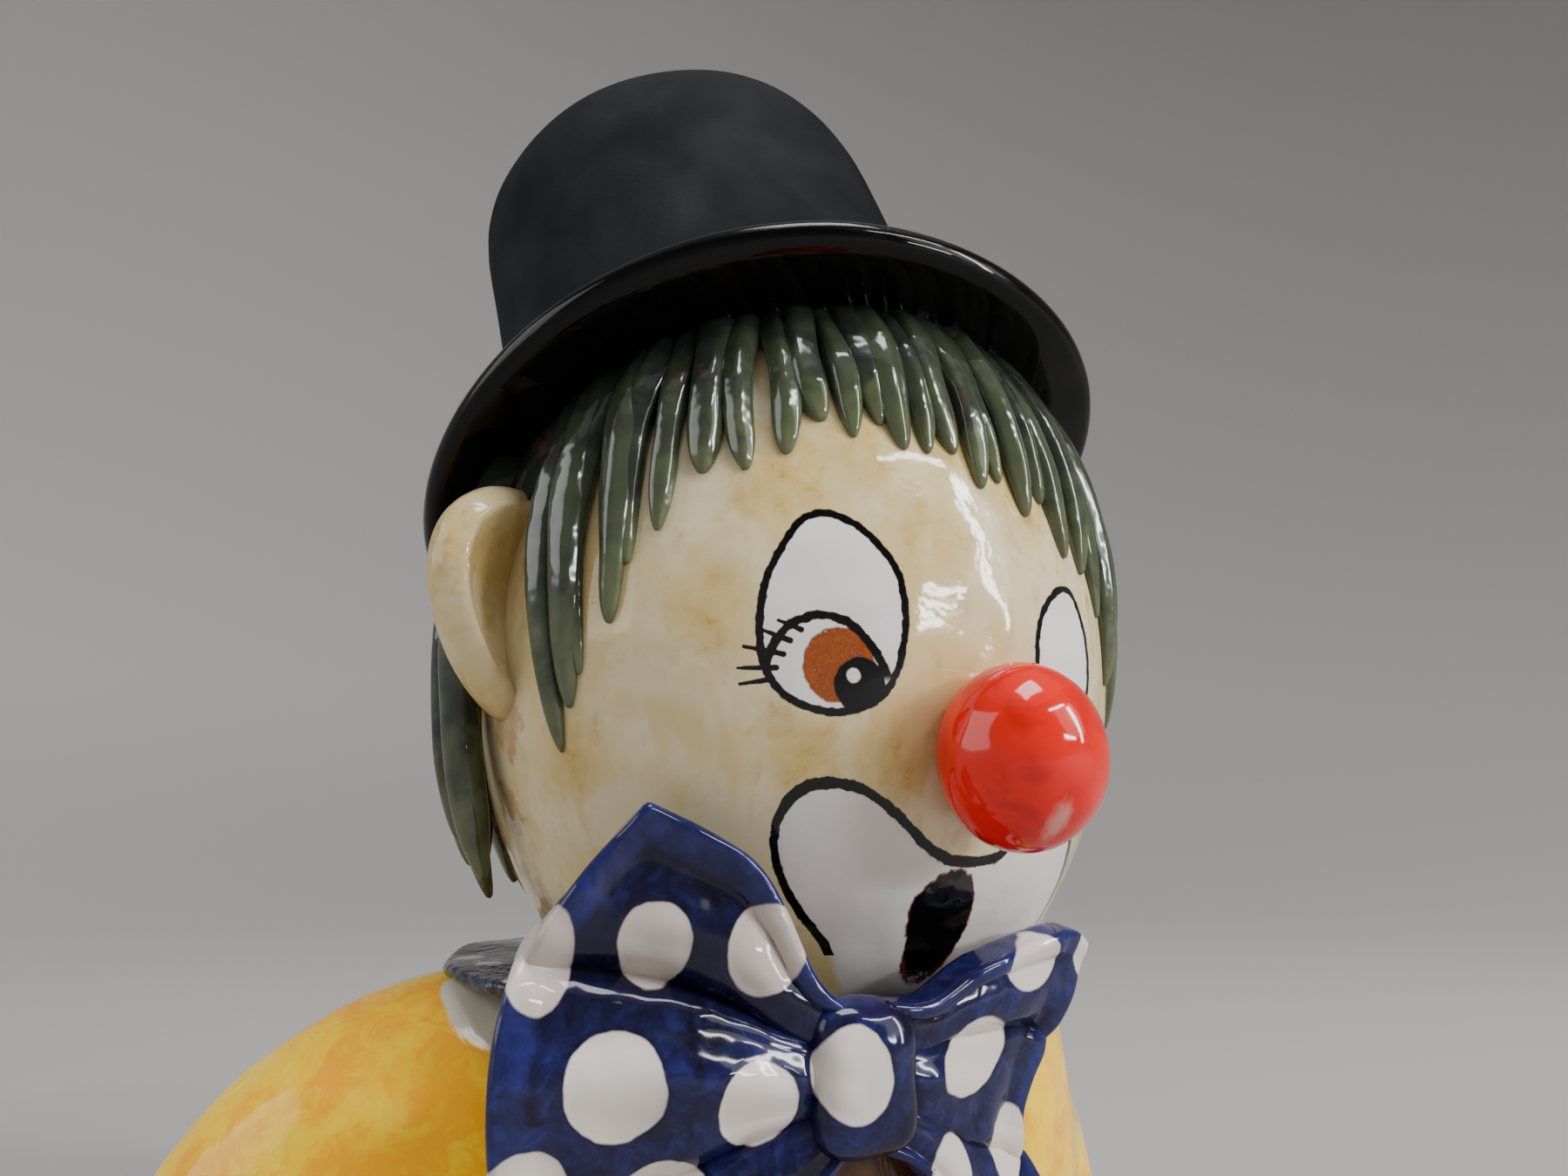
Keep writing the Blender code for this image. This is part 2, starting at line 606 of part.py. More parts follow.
def main():
    """Model the pieces, fuse them with the head and cut the bust flat."""
    clear_scene()
    root = bpy.context.scene.collection
    shown = bpy.data.collections.new("clown_figurine")
    fused = bpy.data.collections.new("fused_pieces")
    cutters = bpy.data.collections.new("cutters")
    for group in (shown, fused, cutters):
        root.children.link(group)
    bust = make_head(shown, ceramic())
    make_hat(fused)
    make_nose(fused)
    for side in (1, -1):
        make_ear(side, fused)
    make_hair_bed(fused)
    make_hair(fused)
    make_torso(fused)
    make_arms(fused)
    make_collar(fused)
    near_edges = (NEAR_WING_TOP, NEAR_WING_SIDE, NEAR_WING_FOOT)
    far_edges = (FAR_WING_TOP, FAR_WING_SIDE, FAR_WING_FOOT)
    make_wing("near_wing", -1, near_edges, NEAR_WING_SWEEP, NEAR_WING_FOLD, fused)
    make_wing("far_wing", 1, far_edges, FAR_WING_SWEEP, FAR_WING_FOLD, fused)
    make_knot(fused)
    join = bust.modifiers.new("fuse", "BOOLEAN")
    join.operation = "UNION"
    join.operand_type = "COLLECTION"
    join.collection = fused
    join.solver = "MANIFOLD"
    flat = bust.modifiers.new("flat_cut", "BOOLEAN")
    flat.operation = "DIFFERENCE"
    flat.object = make_base_cutter(cutters)
    flat.solver = "MANIFOLD"


main()
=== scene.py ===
"""Looks of a hand-built, glazed ceramic clown: a painted egg of a head with rolled hair, a ball
nose and two ears, a tipped top hat, a spotted bow tie and the shoulders of a yellow coat, cut
flat below.
"""
import logging
from dataclasses import dataclass, field
from enum import Enum
from math import atan2, cos, hypot, pi, radians, sin, sqrt
from typing import Callable, Dict, List, Optional, Sequence, Tuple, Union

import bpy
from mathutils import Matrix, Vector, noise


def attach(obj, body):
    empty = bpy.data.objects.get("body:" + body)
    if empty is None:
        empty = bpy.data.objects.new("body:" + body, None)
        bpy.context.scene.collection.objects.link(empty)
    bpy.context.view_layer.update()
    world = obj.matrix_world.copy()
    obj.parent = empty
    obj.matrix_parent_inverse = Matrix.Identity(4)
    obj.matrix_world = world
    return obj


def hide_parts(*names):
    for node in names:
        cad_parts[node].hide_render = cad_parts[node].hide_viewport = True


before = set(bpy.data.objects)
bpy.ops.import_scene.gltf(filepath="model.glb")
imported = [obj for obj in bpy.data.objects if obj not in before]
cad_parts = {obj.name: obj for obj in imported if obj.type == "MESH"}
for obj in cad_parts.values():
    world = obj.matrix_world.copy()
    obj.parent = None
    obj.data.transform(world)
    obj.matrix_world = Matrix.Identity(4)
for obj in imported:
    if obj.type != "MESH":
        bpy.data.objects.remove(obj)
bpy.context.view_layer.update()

LOG = logging.getLogger("clown")
Pair = Tuple[float, float]
Colour = Tuple[float, float, float]
MM = 0.001
NODE = "clown_bust"
BODY = "root"
FACE_RADIUS = 36.0
FACE_MM_PER_DEGREE = 0.6283


class Slot(Enum):
    """The record's material slots."""

    SKIN = "skin"
    HAT = "hat"
    HAIR = "hair"
    NOSE = "nose"
    BOW = "bow_tie"
    COAT = "coat"
    COLLAR = "collar"
    SHIRT = "shirt"


class Link:
    """A socket of a material that colours or vectors come out of."""

    def __init__(self, paint: "Paint", socket: bpy.types.NodeSocket) -> None:
        """Keep the socket with the material it belongs to."""
        self.paint = paint
        self.socket = socket


class Field(Link):
    """A number that varies over a surface; sums written on it become Math nodes."""

    def _sum(self, operation: str, *others: Union["Field", float]) -> "Field":
        """Add one Math node.

        Args:
            operation: the node's operation.
            others: the second and third numbers.

        Returns:
            The node's result.
        """
        sockets = dict(enumerate((self,) + others))
        return self.paint.node("ShaderNodeMath", {"operation": operation}, sockets)

    def __add__(self, other: Union["Field", float]) -> "Field":
        """Sum."""
        return self._sum("ADD", other)

    __radd__ = __add__

    def __sub__(self, other: Union["Field", float]) -> "Field":
        """Difference."""
        return self._sum("SUBTRACT", other)

    def __rsub__(self, other: float) -> "Field":
        """Difference from a plain number."""
        return (self * -1.0) + other

    def __mul__(self, other: Union["Field", float]) -> "Field":
        """Product."""
        return self._sum("MULTIPLY", other)

    __rmul__ = __mul__

    def __truediv__(self, other: Union["Field", float]) -> "Field":
        """Quotient."""
        return self._sum("DIVIDE", other)

    def __neg__(self) -> "Field":
        """Opposite."""
        return self * -1.0

    def __abs__(self) -> "Field":
        """Size without sign."""
        return self._sum("ABSOLUTE")

    def root(self) -> "Field":
        """Square root."""
        return self._sum("SQRT")

    def least(self, other: Union["Field", float]) -> "Field":
        """The smaller of two numbers."""
        return self._sum("MINIMUM", other)

    def most(self, other: Union["Field", float]) -> "Field":
        """The larger of two numbers."""
        return self._sum("MAXIMUM", other)

    def turn(self, other: "Field") -> "Field":
        """The angle whose tangent is this number over the other, in radians."""
        return self._sum("ARCTAN2", other)

    def fade(self, low: float, high: float) -> "Field":
        """Rise softly from 0 to 1.

        Args:
            low: where the rise starts.
            high: where it ends; below low for a fall.

        Returns:
            The share, held between 0 and 1.
        """
        settings = {"interpolation_type": "SMOOTHSTEP"}
        if low < high:
            return self.paint.node("ShaderNodeMapRange", settings,
                                   {"Value": self, "From Min": low, "From Max": high})
        sockets = {"Value": self, "From Min": high, "From Max": low, "To Min": 1.0, "To Max": 0.0}
        return self.paint.node("ShaderNodeMapRange", settings, sockets)


class Paint:
    """One material under construction."""

    def __init__(self, name: str) -> None:
        """Start a material on its Principled shader."""
        self.material = bpy.data.materials.new(name)
        self.material.use_nodes = True
        self.tree = self.material.node_tree
        self.shader = self.tree.nodes["Principled BSDF"]

    def node(self, kind: str, settings: Optional[Dict] = None, sockets: Optional[Dict] = None,
             out: Union[int, str] = 0) -> Field:
        """Add a node.

        Args:
            kind: the node's type.
            settings: its settings; "points" are a curve's.
            sockets: values or links for its inputs, by name or number.
            out: the output to hand on.

        Returns:
            That output.
        """
        made = self.tree.nodes.new(kind)
        for key, value in (settings or {}).items():
            if key == "points":
                self._set_points(made, value)
            else:
                setattr(made, key, value)
        for key, value in (sockets or {}).items():
            if isinstance(value, Link):
                self.tree.links.new(value.socket, made.inputs[key])
            else:
                made.inputs[key].default_value = value
        return Field(self, made.outputs[out])

    @staticmethod
    def _set_points(made: bpy.types.Node, points: Sequence[Pair]) -> None:
        """Give a float curve its points, joined by straight lines."""
        curve = made.mapping.curves[0]
        while len(curve.points) > 2:
            curve.points.remove(curve.points[1])
        curve.points[0].location = points[0]
        curve.points[-1].location = points[-1]
        for point in points[1:-1]:
            curve.points.new(*point)
        for point in curve.points:
            point.handle_type = "VECTOR"
        made.mapping.update()

    def place(self, at: Optional[Matrix] = None) -> Link:
        """The place on the surface in millimetres.

        Args:
            at: a frame to measure in, if not the object's own.

        Returns:
            A vector.
        """
        vector = self.node("ShaderNodeTexCoord", out="Object")
        if at is not None:
            sockets = {"Vector": vector, "Location": at.translation, "Rotation": at.to_euler()}
            vector = self.node("ShaderNodeMapping", {"vector_type": "TEXTURE"}, sockets)
        return self.node("ShaderNodeVectorMath", {"operation": "SCALE"},
                         {0: vector, "Scale": 1.0 / MM})

    def split(self, vector: Link) -> Tuple[Field, Field, Field]:
        """The three numbers of a vector."""
        made = self.node("ShaderNodeSeparateXYZ", None, {0: vector})
        outputs = made.socket.node.outputs
        return tuple(Field(self, outputs[index]) for index in range(3))

    def join(self, x: Union[Field, float], y: Union[Field, float], z: Union[Field, float]) -> Link:
        """A vector of three numbers."""
        return self.node("ShaderNodeCombineXYZ", None, {0: x, 1: y, 2: z})

    def attribute(self, name: str) -> Field:
        """A number kept on the mesh."""
        return self.node("ShaderNodeAttribute", {"attribute_name": name}, out="Fac")

    def grain(self, vector: Link, scale: float, detail: float = 3.0, swirl: float = 0.0,
              rough: float = 0.5) -> Field:
        """Smooth noise, about 0.5 on average.

        Args:
            vector: where to read it.
            scale: cells in a millimetre.
            detail: octaves.
            swirl: distortion.
            rough: weight of the finer octaves.

        Returns:
            The noise.
        """
        sockets = {"Vector": vector, "Scale": scale, "Detail": detail, "Distortion": swirl,
                   "Roughness": rough}
        return self.node("ShaderNodeTexNoise", None, sockets)

    def curve(self, value: Field, points: Sequence[Pair]) -> Field:
        """Read a value off a curve."""
        return self.node("ShaderNodeFloatCurve", {"points": points}, {"Value": value})

    def mix(self, share: Union[Field, float], first: Union[Link, Colour],
            second: Union[Link, Colour]) -> Link:
        """Lay one colour over another.

        Args:
            share: how far the second covers the first.
            first: the colour below.
            second: the colour on top.

        Returns:
            The colour.
        """
        pair = [item if isinstance(item, Link) else (*item, 1.0) for item in (first, second)]
        sockets = {0: share, 6: pair[0], 7: pair[1]}
        return self.node("ShaderNodeMix", {"data_type": "RGBA"}, sockets, out=2)

    def relief(self, height: Field, reach: float) -> Link:
        """Bump from a height of 0 to 1 over a reach in millimetres."""
        sockets = {"Height": height, "Strength": 1.0, "Distance": reach * MM}
        return self.node("ShaderNodeBump", None, sockets)

    def finish(self, colour: Link, rough: Union[Field, float], normal: Optional[Link] = None,
               shine: float = 0.5, coat: Optional[Field] = None) -> bpy.types.Material:
        """Wire the shader and hand over the material.

        Args:
            colour: base colour.
            rough: roughness.
            normal: bump.
            shine: specular level, the same all over.
            coat: how much clear glaze lies on top.

        Returns:
            The material.
        """
        self.tree.links.new(colour.socket, self.shader.inputs["Base Color"])
        if isinstance(rough, Link):
            self.tree.links.new(rough.socket, self.shader.inputs["Roughness"])
        else:
            self.shader.inputs["Roughness"].default_value = rough
        if normal is not None:
            self.tree.links.new(normal.socket, self.shader.inputs["Normal"])
        if coat is not None:
            self.tree.links.new(coat.socket, self.shader.inputs["Coat Weight"])
        self.shader.inputs["Specular IOR Level"].default_value = shine
        return self.material


class Bench:
    """The maker's bench: adds, shapes and finishes meshes."""

    @staticmethod
    def clear() -> None:
        """Deselect everything."""
        if bpy.context.object and bpy.context.object.mode != "OBJECT":
            bpy.ops.object.mode_set(mode="OBJECT")
        bpy.ops.object.select_all(action="DESELECT")

    @staticmethod
    def named(name: str) -> bpy.types.Object:
        """Name the piece that was just added."""
        item = bpy.context.object
        item.name = name
        item.data.name = name
        return item

    @staticmethod
    def pick(item: bpy.types.Object) -> None:
        """Select one piece alone."""
        Bench.clear()
        item.select_set(True)
        bpy.context.view_layer.objects.active = item

    @staticmethod
    def ball(name: str, segments: int, rings: int) -> bpy.types.Object:
        """A ball of radius 1 m, to be shaped."""
        Bench.clear()
        bpy.ops.mesh.primitive_uv_sphere_add(segments=segments, ring_count=rings, radius=1.0)
        return Bench.named(name)

    @staticmethod
    def sheet(name: str, columns: int, rows: int) -> bpy.types.Object:
        """A square grid 1 m wide, to be shaped."""
        Bench.clear()
        bpy.ops.mesh.primitive_grid_add(x_subdivisions=columns, y_subdivisions=rows, size=1.0)
        return Bench.named(name)

    @staticmethod
    def block(name: str, cuts: int) -> bpy.types.Object:
        """A cube 1 m wide with subdivided faces, to be shaped."""
        Bench.clear()
        bpy.ops.mesh.primitive_cube_add(size=1.0)
        item = Bench.named(name)
        bpy.ops.object.mode_set(mode="EDIT")
        bpy.ops.mesh.select_all(action="SELECT")
        bpy.ops.mesh.subdivide(number_cuts=cuts)
        bpy.ops.object.mode_set(mode="OBJECT")
        return item

    @staticmethod
    def turned(name: str, rings: Sequence[Pair], segments: int) -> bpy.types.Object:
        """A round form drawn out ring by ring, with its two ends closed.

        Args:
            name: the piece's name.
            rings: radius and height of each ring.
            segments: steps round it.

        Returns:
            The piece.
        """
        Bench.clear()
        bpy.ops.mesh.primitive_circle_add(vertices=segments, radius=rings[0][0])
        item = Bench.named(name)
        bpy.ops.object.mode_set(mode="EDIT")
        bpy.ops.mesh.select_all(action="SELECT")
        bpy.ops.transform.translate(value=(0.0, 0.0, rings[0][1]))
        for (radius, height), (wider, higher) in zip(rings, rings[1:]):
            move = {"value": (0.0, 0.0, higher - height)}
            bpy.ops.mesh.extrude_region_move(TRANSFORM_OT_translate=move)
            scale = wider / radius
            bpy.ops.transform.resize(value=(scale, scale, 1.0), center_override=(0.0, 0.0, higher))
        bpy.ops.mesh.select_all(action="SELECT")
        bpy.ops.mesh.fill_holes(sides=0)
        bpy.ops.mesh.select_all(action="SELECT")
        bpy.ops.mesh.normals_make_consistent(inside=False)
        bpy.ops.object.mode_set(mode="OBJECT")
        return item

    @staticmethod
    def shape(item: bpy.types.Object, move: Callable[[Vector], Vector]) -> None:
        """Press a piece into shape, point by point."""
        for vertex in item.data.vertices:
            vertex.co = move(vertex.co.copy())
        item.data.update()

    @staticmethod
    def stretch(item: bpy.types.Object, radii: Vector) -> None:
        """Stretch a ball of radius 1 m to its half sizes."""
        Bench.shape(item, lambda co: Vector((co.x * radii.x, co.y * radii.y, co.z * radii.z)))

    @staticmethod
    def place(item: bpy.types.Object, at: Matrix) -> None:
        """Put the mesh in its place; the object stays at the origin."""
        item.data.transform(at)
        item.data.update()

    @staticmethod
    def modify(item: bpy.types.Object, kind: str, **settings: object) -> None:
        """Add a modifier and apply it.

        Args:
            item: the piece.
            kind: the modifier's type.
            settings: its settings.
        """
        Bench.pick(item)
        modifier = item.modifiers.new(kind.lower(), kind)
        for key, value in settings.items():
            setattr(modifier, key, value)
        bpy.ops.object.modifier_apply(modifier=modifier.name)

    @staticmethod
    def refine(item: bpy.types.Object, levels: int) -> None:
        """Round a piece by subdividing it."""
        Bench.modify(item, "SUBSURF", levels=levels, render_levels=levels)

    @staticmethod
    def outward(item: bpy.types.Object) -> None:
        """Merge doubles and point all faces out."""
        Bench.pick(item)
        bpy.ops.object.mode_set(mode="EDIT")
        bpy.ops.mesh.select_all(action="SELECT")
        bpy.ops.mesh.remove_doubles(threshold=0.00001)
        bpy.ops.mesh.normals_make_consistent(inside=False)
        bpy.ops.object.mode_set(mode="OBJECT")

    @staticmethod
    def cut(item: bpy.types.Object, point: Vector, normal: Vector) -> None:
        """Slice a piece flat and close the cut, keeping the side behind the normal."""
        Bench.pick(item)
        bpy.ops.object.mode_set(mode="EDIT")
        bpy.ops.mesh.select_all(action="SELECT")
        bpy.ops.mesh.bisect(plane_co=point, plane_no=normal, use_fill=True, clear_outer=True)
        bpy.ops.object.mode_set(mode="OBJECT")

    @staticmethod
    def smooth(item: bpy.types.Object, angle: float = 50.0) -> None:
        """Shade smooth, keeping edges sharper than an angle in degrees."""
        Bench.pick(item)
        bpy.ops.object.shade_smooth_by_angle(angle=radians(angle))

    @staticmethod
    def join(name: str, items: Sequence[bpy.types.Object]) -> bpy.types.Object:
        """Make one piece of several."""
        Bench.clear()
        for item in items:
            item.select_set(True)
        bpy.context.view_layer.objects.active = items[0]
        bpy.ops.object.join()
        return Bench.named(name)

    @staticmethod
    def hand_over(item: bpy.types.Object, material: bpy.types.Material, slot: Slot) -> None:
        """Dress a finished piece and fix it to the bust.

        Args:
            item: the piece.
            material: its finish.
            slot: the record's slot for that finish; not used.
        """
        item.data.materials.clear()
        item.data.materials.append(material)
        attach(item, BODY)
        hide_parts(NODE)
        box = [tuple(round(value, 4) for value in corner) for corner in item.bound_box]
        LOG.info("%s: %d faces, from %s to %s", item.name, len(item.data.polygons), box[0], box[6])


def wobble(point: Vector, size: float, amount: float, seed: float = 0.0) -> float:
    """The unevenness of hand-pressed clay.

    Args:
        point: a place in metres.
        size: the width of a hollow in metres.
        amount: the height of a bump in metres.
        seed: shifts the pattern.

    Returns:
        A height in metres.
    """
    return noise.noise(point / size + Vector((seed, 0.0, 0.0))) * amount


def between(pairs: Sequence[Pair], value: float) -> float:
    """Read a value off a list of pairs, eased between them."""
    for (left, first), (right, second) in zip(pairs, pairs[1:]):
        if value <= right:
            share = max(0.0, (value - left) / (right - left))
            return first + (second - first) * (share * share * (3 - 2 * share))
    return pairs[-1][1]


def curve_between(four: Sequence[Vector], part: float) -> Vector:
    """A place on the smooth curve between the middle two of four points.

    Args:
        four: the points in order.
        part: 0 at the second, 1 at the third.

    Returns:
        The place.
    """
    before, first, second, after = four
    leave, arrive = (second - before) * 0.5, (after - first) * 0.5
    return (first * (2 * part ** 3 - 3 * part ** 2 + 1) + leave * (part ** 3 - 2 * part ** 2 + part)
            + second * (3 * part ** 2 - 2 * part ** 3) + arrive * (part ** 3 - part ** 2))


def along_line(points: Sequence[Pair], share: float) -> Vector:
    """The place at a share of the length of a line that runs smoothly through points.

    Args:
        points: the points.
        share: 0 at the first, 1 at the last.

    Returns:
        The place.
    """
    places = [Vector(point) for point in points]
    steps = [(right - left).length for left, right in zip(places, places[1:])]
    over = share * sum(steps)
    for index, step in enumerate(steps):
        if over <= step or index == len(steps) - 1:
            break
        over -= step
    part = min(1.0, over / steps[index])
    first, second = places[index], places[index + 1]
    before = places[index - 1] if index else first * 2 - second
    after = places[index + 2] if index + 2 < len(places) else second * 2 - first
    return curve_between((before, first, second, after), part)


@dataclass
class Head:
    """The egg of the head, which everything else is set on."""

    wide: float = 0.0730
    deep: float = 0.0694
    tall: float = 0.0898
    centre_height: float = 0.0750
    bed_growth: float = 0.0008
    bed_back: float = 0.0016
    bed_rise: float = 0.0020
    margin: float = 0.0001

    @property
    def centre(self) -> Vector:
        """The middle of the head."""
        return Vector((0.0, 0.0, self.centre_height))

    @property
    def radii(self) -> Vector:
        """Half the head's three sizes."""
        return Vector((self.wide / 2, self.deep / 2, self.tall / 2))

    def normal(self, azimuth: float, height: float) -> Vector:
        """The direction out of the skin."""
        point = self.point(azimuth, height) - self.centre
        return Vector(tuple(point[axis] / self.radii[axis] ** 2 for axis in range(3))).normalized()

    def point(self, azimuth: float, height: float, lift: float = 0.0) -> Vector:
        """A place on the head.

        Args:
            azimuth: degrees from the front, positive to the figure's left.
            height: metres above the head's centre.
            lift: metres off the skin.

        Returns:
            The place.
        """
        angle = radians(azimuth)
        radii = self.radii
        share = sqrt(max(0.0, 1.0 - (height / radii.z) ** 2))
        reach = share / sqrt((sin(angle) / radii.x) ** 2 + (cos(angle) / radii.y) ** 2)
        point = Vector((reach * sin(angle), -reach * cos(angle), height))
        if lift:
            slope = [point[axis] / radii[axis] ** 2 for axis in range(3)]
            point += Vector(slope).normalized() * lift
        return self.centre + point

    def egg(self, name: str, radii: Vector, centre: Vector, hat: Matrix) -> bpy.types.Object:
        """An egg cut flat where the hat sits on it.

        Args:
            name: the piece's name.
            radii: its half sizes.
            centre: its middle.
            hat: the hat's frame.

        Returns:
            The piece.
        """
        item = Bench.ball(name, 112, 72)
        Bench.stretch(item, radii)
        Bench.shape(item, lambda co: co * (1.0 + wobble(co, 0.016, 0.0035, 3.0)))
        Bench.place(item, Matrix.Translation(centre))
        Bench.cut(item, hat.translation, hat.to_3x3() @ Vector((0.0, 0.0, 1.0)))
        Bench.smooth(item)
        return item

    def build(self, hat: Matrix) -> List[bpy.types.Object]:
        """Model the head and the bed of clay that the hair is pressed into."""
        shrink = Vector((1.0, 1.0, 1.0)) * self.margin
        head = self.egg("head", self.radii - shrink, self.centre, hat)
        Bench.hand_over(head, SkinGlaze().dress(self), Slot.SKIN)
        growth = Vector((1.0, 1.0, 1.0)) * (self.bed_growth - self.margin)
        place = self.centre + Vector((0.0, self.bed_back, self.bed_rise))
        bed = self.egg("hair_bed", self.radii + growth, place, hat)
        Bench.cut(bed, self.centre, Vector((0.0, -1.0, -0.45)))
        Bench.smooth(bed)
        Bench.hand_over(bed, HairGlaze(bed=True).dress(), Slot.HAIR)
        return [head, bed]


@dataclass
class Hat:
    """The top hat, tipped back on the head."""

    brim_radius: float = 0.0412
    brim_thick: float = 0.0036
    brim_wave: float = 0.0009
    wave_from: float = 0.8
    brim_droop: float = 0.0030
    droop_around: float = 0.35
    base_radius: float = 0.0255
    waist_radius: float = 0.0275
    top_radius: float = 0.0272
    crown: float = 0.0505
    rounding: float = 0.0080
    dome: float = 0.0015
    dent: float = 0.0022
    dent_from: float = 0.4
    dent_start: float = 0.5
    lean_side: float = 3.7
    lean_front: float = 4.0
    rise: float = 0.0211
    back: float = 0.0045
    aside: float = 0.0012
    tilt_back: float = 27.0
    tilt_side: float = 2.0
    head: Head = field(default_factory=Head)

    def frame(self) -> Matrix:
        """The hat's own frame: the middle of the brim, +Z along its axis."""
        place = Matrix.Translation(self.head.centre + Vector((-self.aside, self.back, self.rise)))
        side = Matrix.Rotation(radians(-self.tilt_side), 4, "Y")
        return place @ side @ Matrix.Rotation(radians(-self.tilt_back), 4, "X")

    def rings(self) -> List[Pair]:
        """Radius and height of each ring, from the top of the crown to the brim's underside."""
        top = self.crown
        half = self.brim_thick / 2
        rings = [(0.001, top + self.dome), (self.top_radius * 0.35, top + self.dome * 0.8)]
        rings += [(self.top_radius * 0.58, top + self.dome * 0.3)]
        rings += [(self.top_radius - self.rounding * (1 - sin(turn)),
                   top - self.rounding * (1 - cos(turn)))
                  for turn in (0.15, 0.45, 0.8, 1.15, pi / 2)]
        rings += [(self.waist_radius * 0.992, top * 0.70), (self.waist_radius, top * 0.55)]
        rings += [(self.waist_radius, top * 0.42), (self.waist_radius * 0.985, top * 0.30)]
        rings += [(self.base_radius * 1.025, top * 0.19), (self.base_radius, top * 0.10)]
        rings += [(self.base_radius * 1.012, top * 0.055), (self.base_radius * 1.05, half * 1.15)]
        rings += [(self.base_radius * 1.14, half * 0.98), (self.base_radius * 1.3, half)]
        rings += [(self.brim_radius + half * (cos(turn) - 1), half * sin(turn))
                  for turn in (1.5, 1.1, 0.6, 0.0, -0.6, -1.1, -1.5)]
        rings += [(self.head.wide * 0.46, -half * 1.02), (self.head.wide * 0.33, -half)]
        return rings + [(0.001, -half)]

    def press(self, co: Vector) -> Vector:
        """Bend the turned form as it was bent by hand."""
        half = self.brim_thick / 2
        reach = hypot(co.x, co.y)
        outward = max(0.0, reach - self.base_radius) / (self.brim_radius - self.base_radius)
        around = -atan2(co.y, co.x)
        rise = max(0.0, co.z - half)
        out = Vector((co.x, co.y, 0.0)).normalized()
        steady = min(1.0, rise / 0.01) * min(1.0, reach / self.top_radius)
        co = co + out * wobble(co, 0.017, 0.0009 * steady, 5.0)
        co.z += self.brim_wave * outward * sin(3 * around + self.wave_from)
        co.z -= self.brim_droop * outward * max(0.0, cos(around - self.droop_around)) ** 2
        climb = max(0.0, rise / self.crown - self.dent_from) / (1.0 - self.dent_from)
        climb *= min(1.0, reach / self.top_radius) ** 2
        co.z -= self.dent * climb * max(0.0, sin(2 * around - self.dent_start)) ** 2
        co.x -= rise * sin(radians(self.lean_side))
        co.y -= rise * sin(radians(self.lean_front))
        return co

    def build(self) -> List[bpy.types.Object]:
        """Draw the hat out, bend it and set it on the head."""
        item = Bench.turned("top_hat", self.rings(), 64)
        Bench.shape(item, self.press)
        Bench.refine(item, 1)
        Bench.place(item, self.frame())
        Bench.smooth(item, 70.0)
        Bench.hand_over(item, HatGlaze().dress(self), Slot.HAT)
        return [item]


@dataclass
class Nose:
    """The ball nose."""

    wide: float = 0.0149
    tall: float = 0.0166
    drop: float = 0.0125
    sink: float = 0.0016
    head: Head = field(default_factory=Head)

    def centre(self) -> Vector:
        """The middle of the ball."""
        return self.head.point(0.0, -self.drop) - Vector((0.0, self.wide / 2 - self.sink, 0.0))

    def build(self) -> List[bpy.types.Object]:
        """Roll the ball and lute it on, spread a little at its root."""
        item = Bench.ball("ball_nose", 56, 36)
        half = self.wide / 2

        def press(co: Vector) -> Vector:
            """Give the ball its height, its root and the unevenness of rolled clay."""
            root = max(0.0, co.y - 0.72) / 0.28
            spread = 1.0 + 0.10 * root
            shaped = Vector((co.x * half * spread, co.y * half, co.z * self.tall / 2 * spread))
            return shaped * (1.0 + wobble(shaped, 0.007, 0.010, 9.0))

        Bench.shape(item, press)
        Bench.place(item, Matrix.Translation(self.centre()))
        Bench.smooth(item, 80.0)
        Bench.hand_over(item, NoseGlaze().dress(self.centre()), Slot.NOSE)
        return [item]


@dataclass
class Ears:
    """Two thick shells, scooped out in front and leaning off the head."""

    tall: float = 0.0245
    reach: float = 0.0165
    thick: float = 0.0110
    rise: float = 0.0035
    azimuth: float = 84.0
    out: float = -0.0006
    scoop_share: float = 0.80
    scoop: float = 0.0052
    lean: float = 12.0
    fan: float = 20.0
    head: Head = field(default_factory=Head)

    def shell(self, name: str) -> bpy.types.Object:
        """Model one ear in its own frame, with how deep each point lies kept on the mesh."""
        item = Bench.ball(name, 64, 44)
        depths = item.data.attributes.new("hollow", "FLOAT", "POINT")
        for vertex in item.data.vertices:
            co = vertex.co
            share = (co.x ** 2 + co.z ** 2) / self.scoop_share ** 2
            hollow = max(0.0, 1.0 - share) ** 0.8 if co.y < 0.0 else 0.0
            depths.data[vertex.index].value = hollow
            co.y += hollow * self.scoop / (self.thick / 2)
            co.x *= 1.0 + 0.22 * co.z
        Bench.stretch(item, Vector((self.reach / 2, self.thick / 2, self.tall / 2)))
        Bench.shape(item, lambda co: co * (1.0 + wobble(co, 0.008, 0.03, 2.0)))
        return item

    def build(self) -> List[bpy.types.Object]:
        """Model both ears and set them on the sides of the head."""
        lean = Matrix.Rotation(radians(self.lean), 4, "Y")
        fan = Matrix.Rotation(radians(-self.fan), 4, "Z")
        at = Matrix.Translation(self.head.point(self.azimuth, self.rise, self.out)) @ fan @ lean
        made = []
        for name, side in (("left_ear", 1.0), ("right_ear", -1.0)):
            item = self.shell(name)
            Bench.place(item, Matrix.Scale(side, 4, (1.0, 0.0, 0.0)) @ at)
            Bench.outward(item)
            Bench.smooth(item, 80.0)
            Bench.hand_over(item, EarGlaze().dress(self.head), Slot.SKIN)
            made.append(item)
        return made


@dataclass
class Strand:
    """One rolled strand: where it leaves the brim and where its tip lies."""

    root: float
    tip: float
    height: float
    thick: float
    hang: float
    tone: float


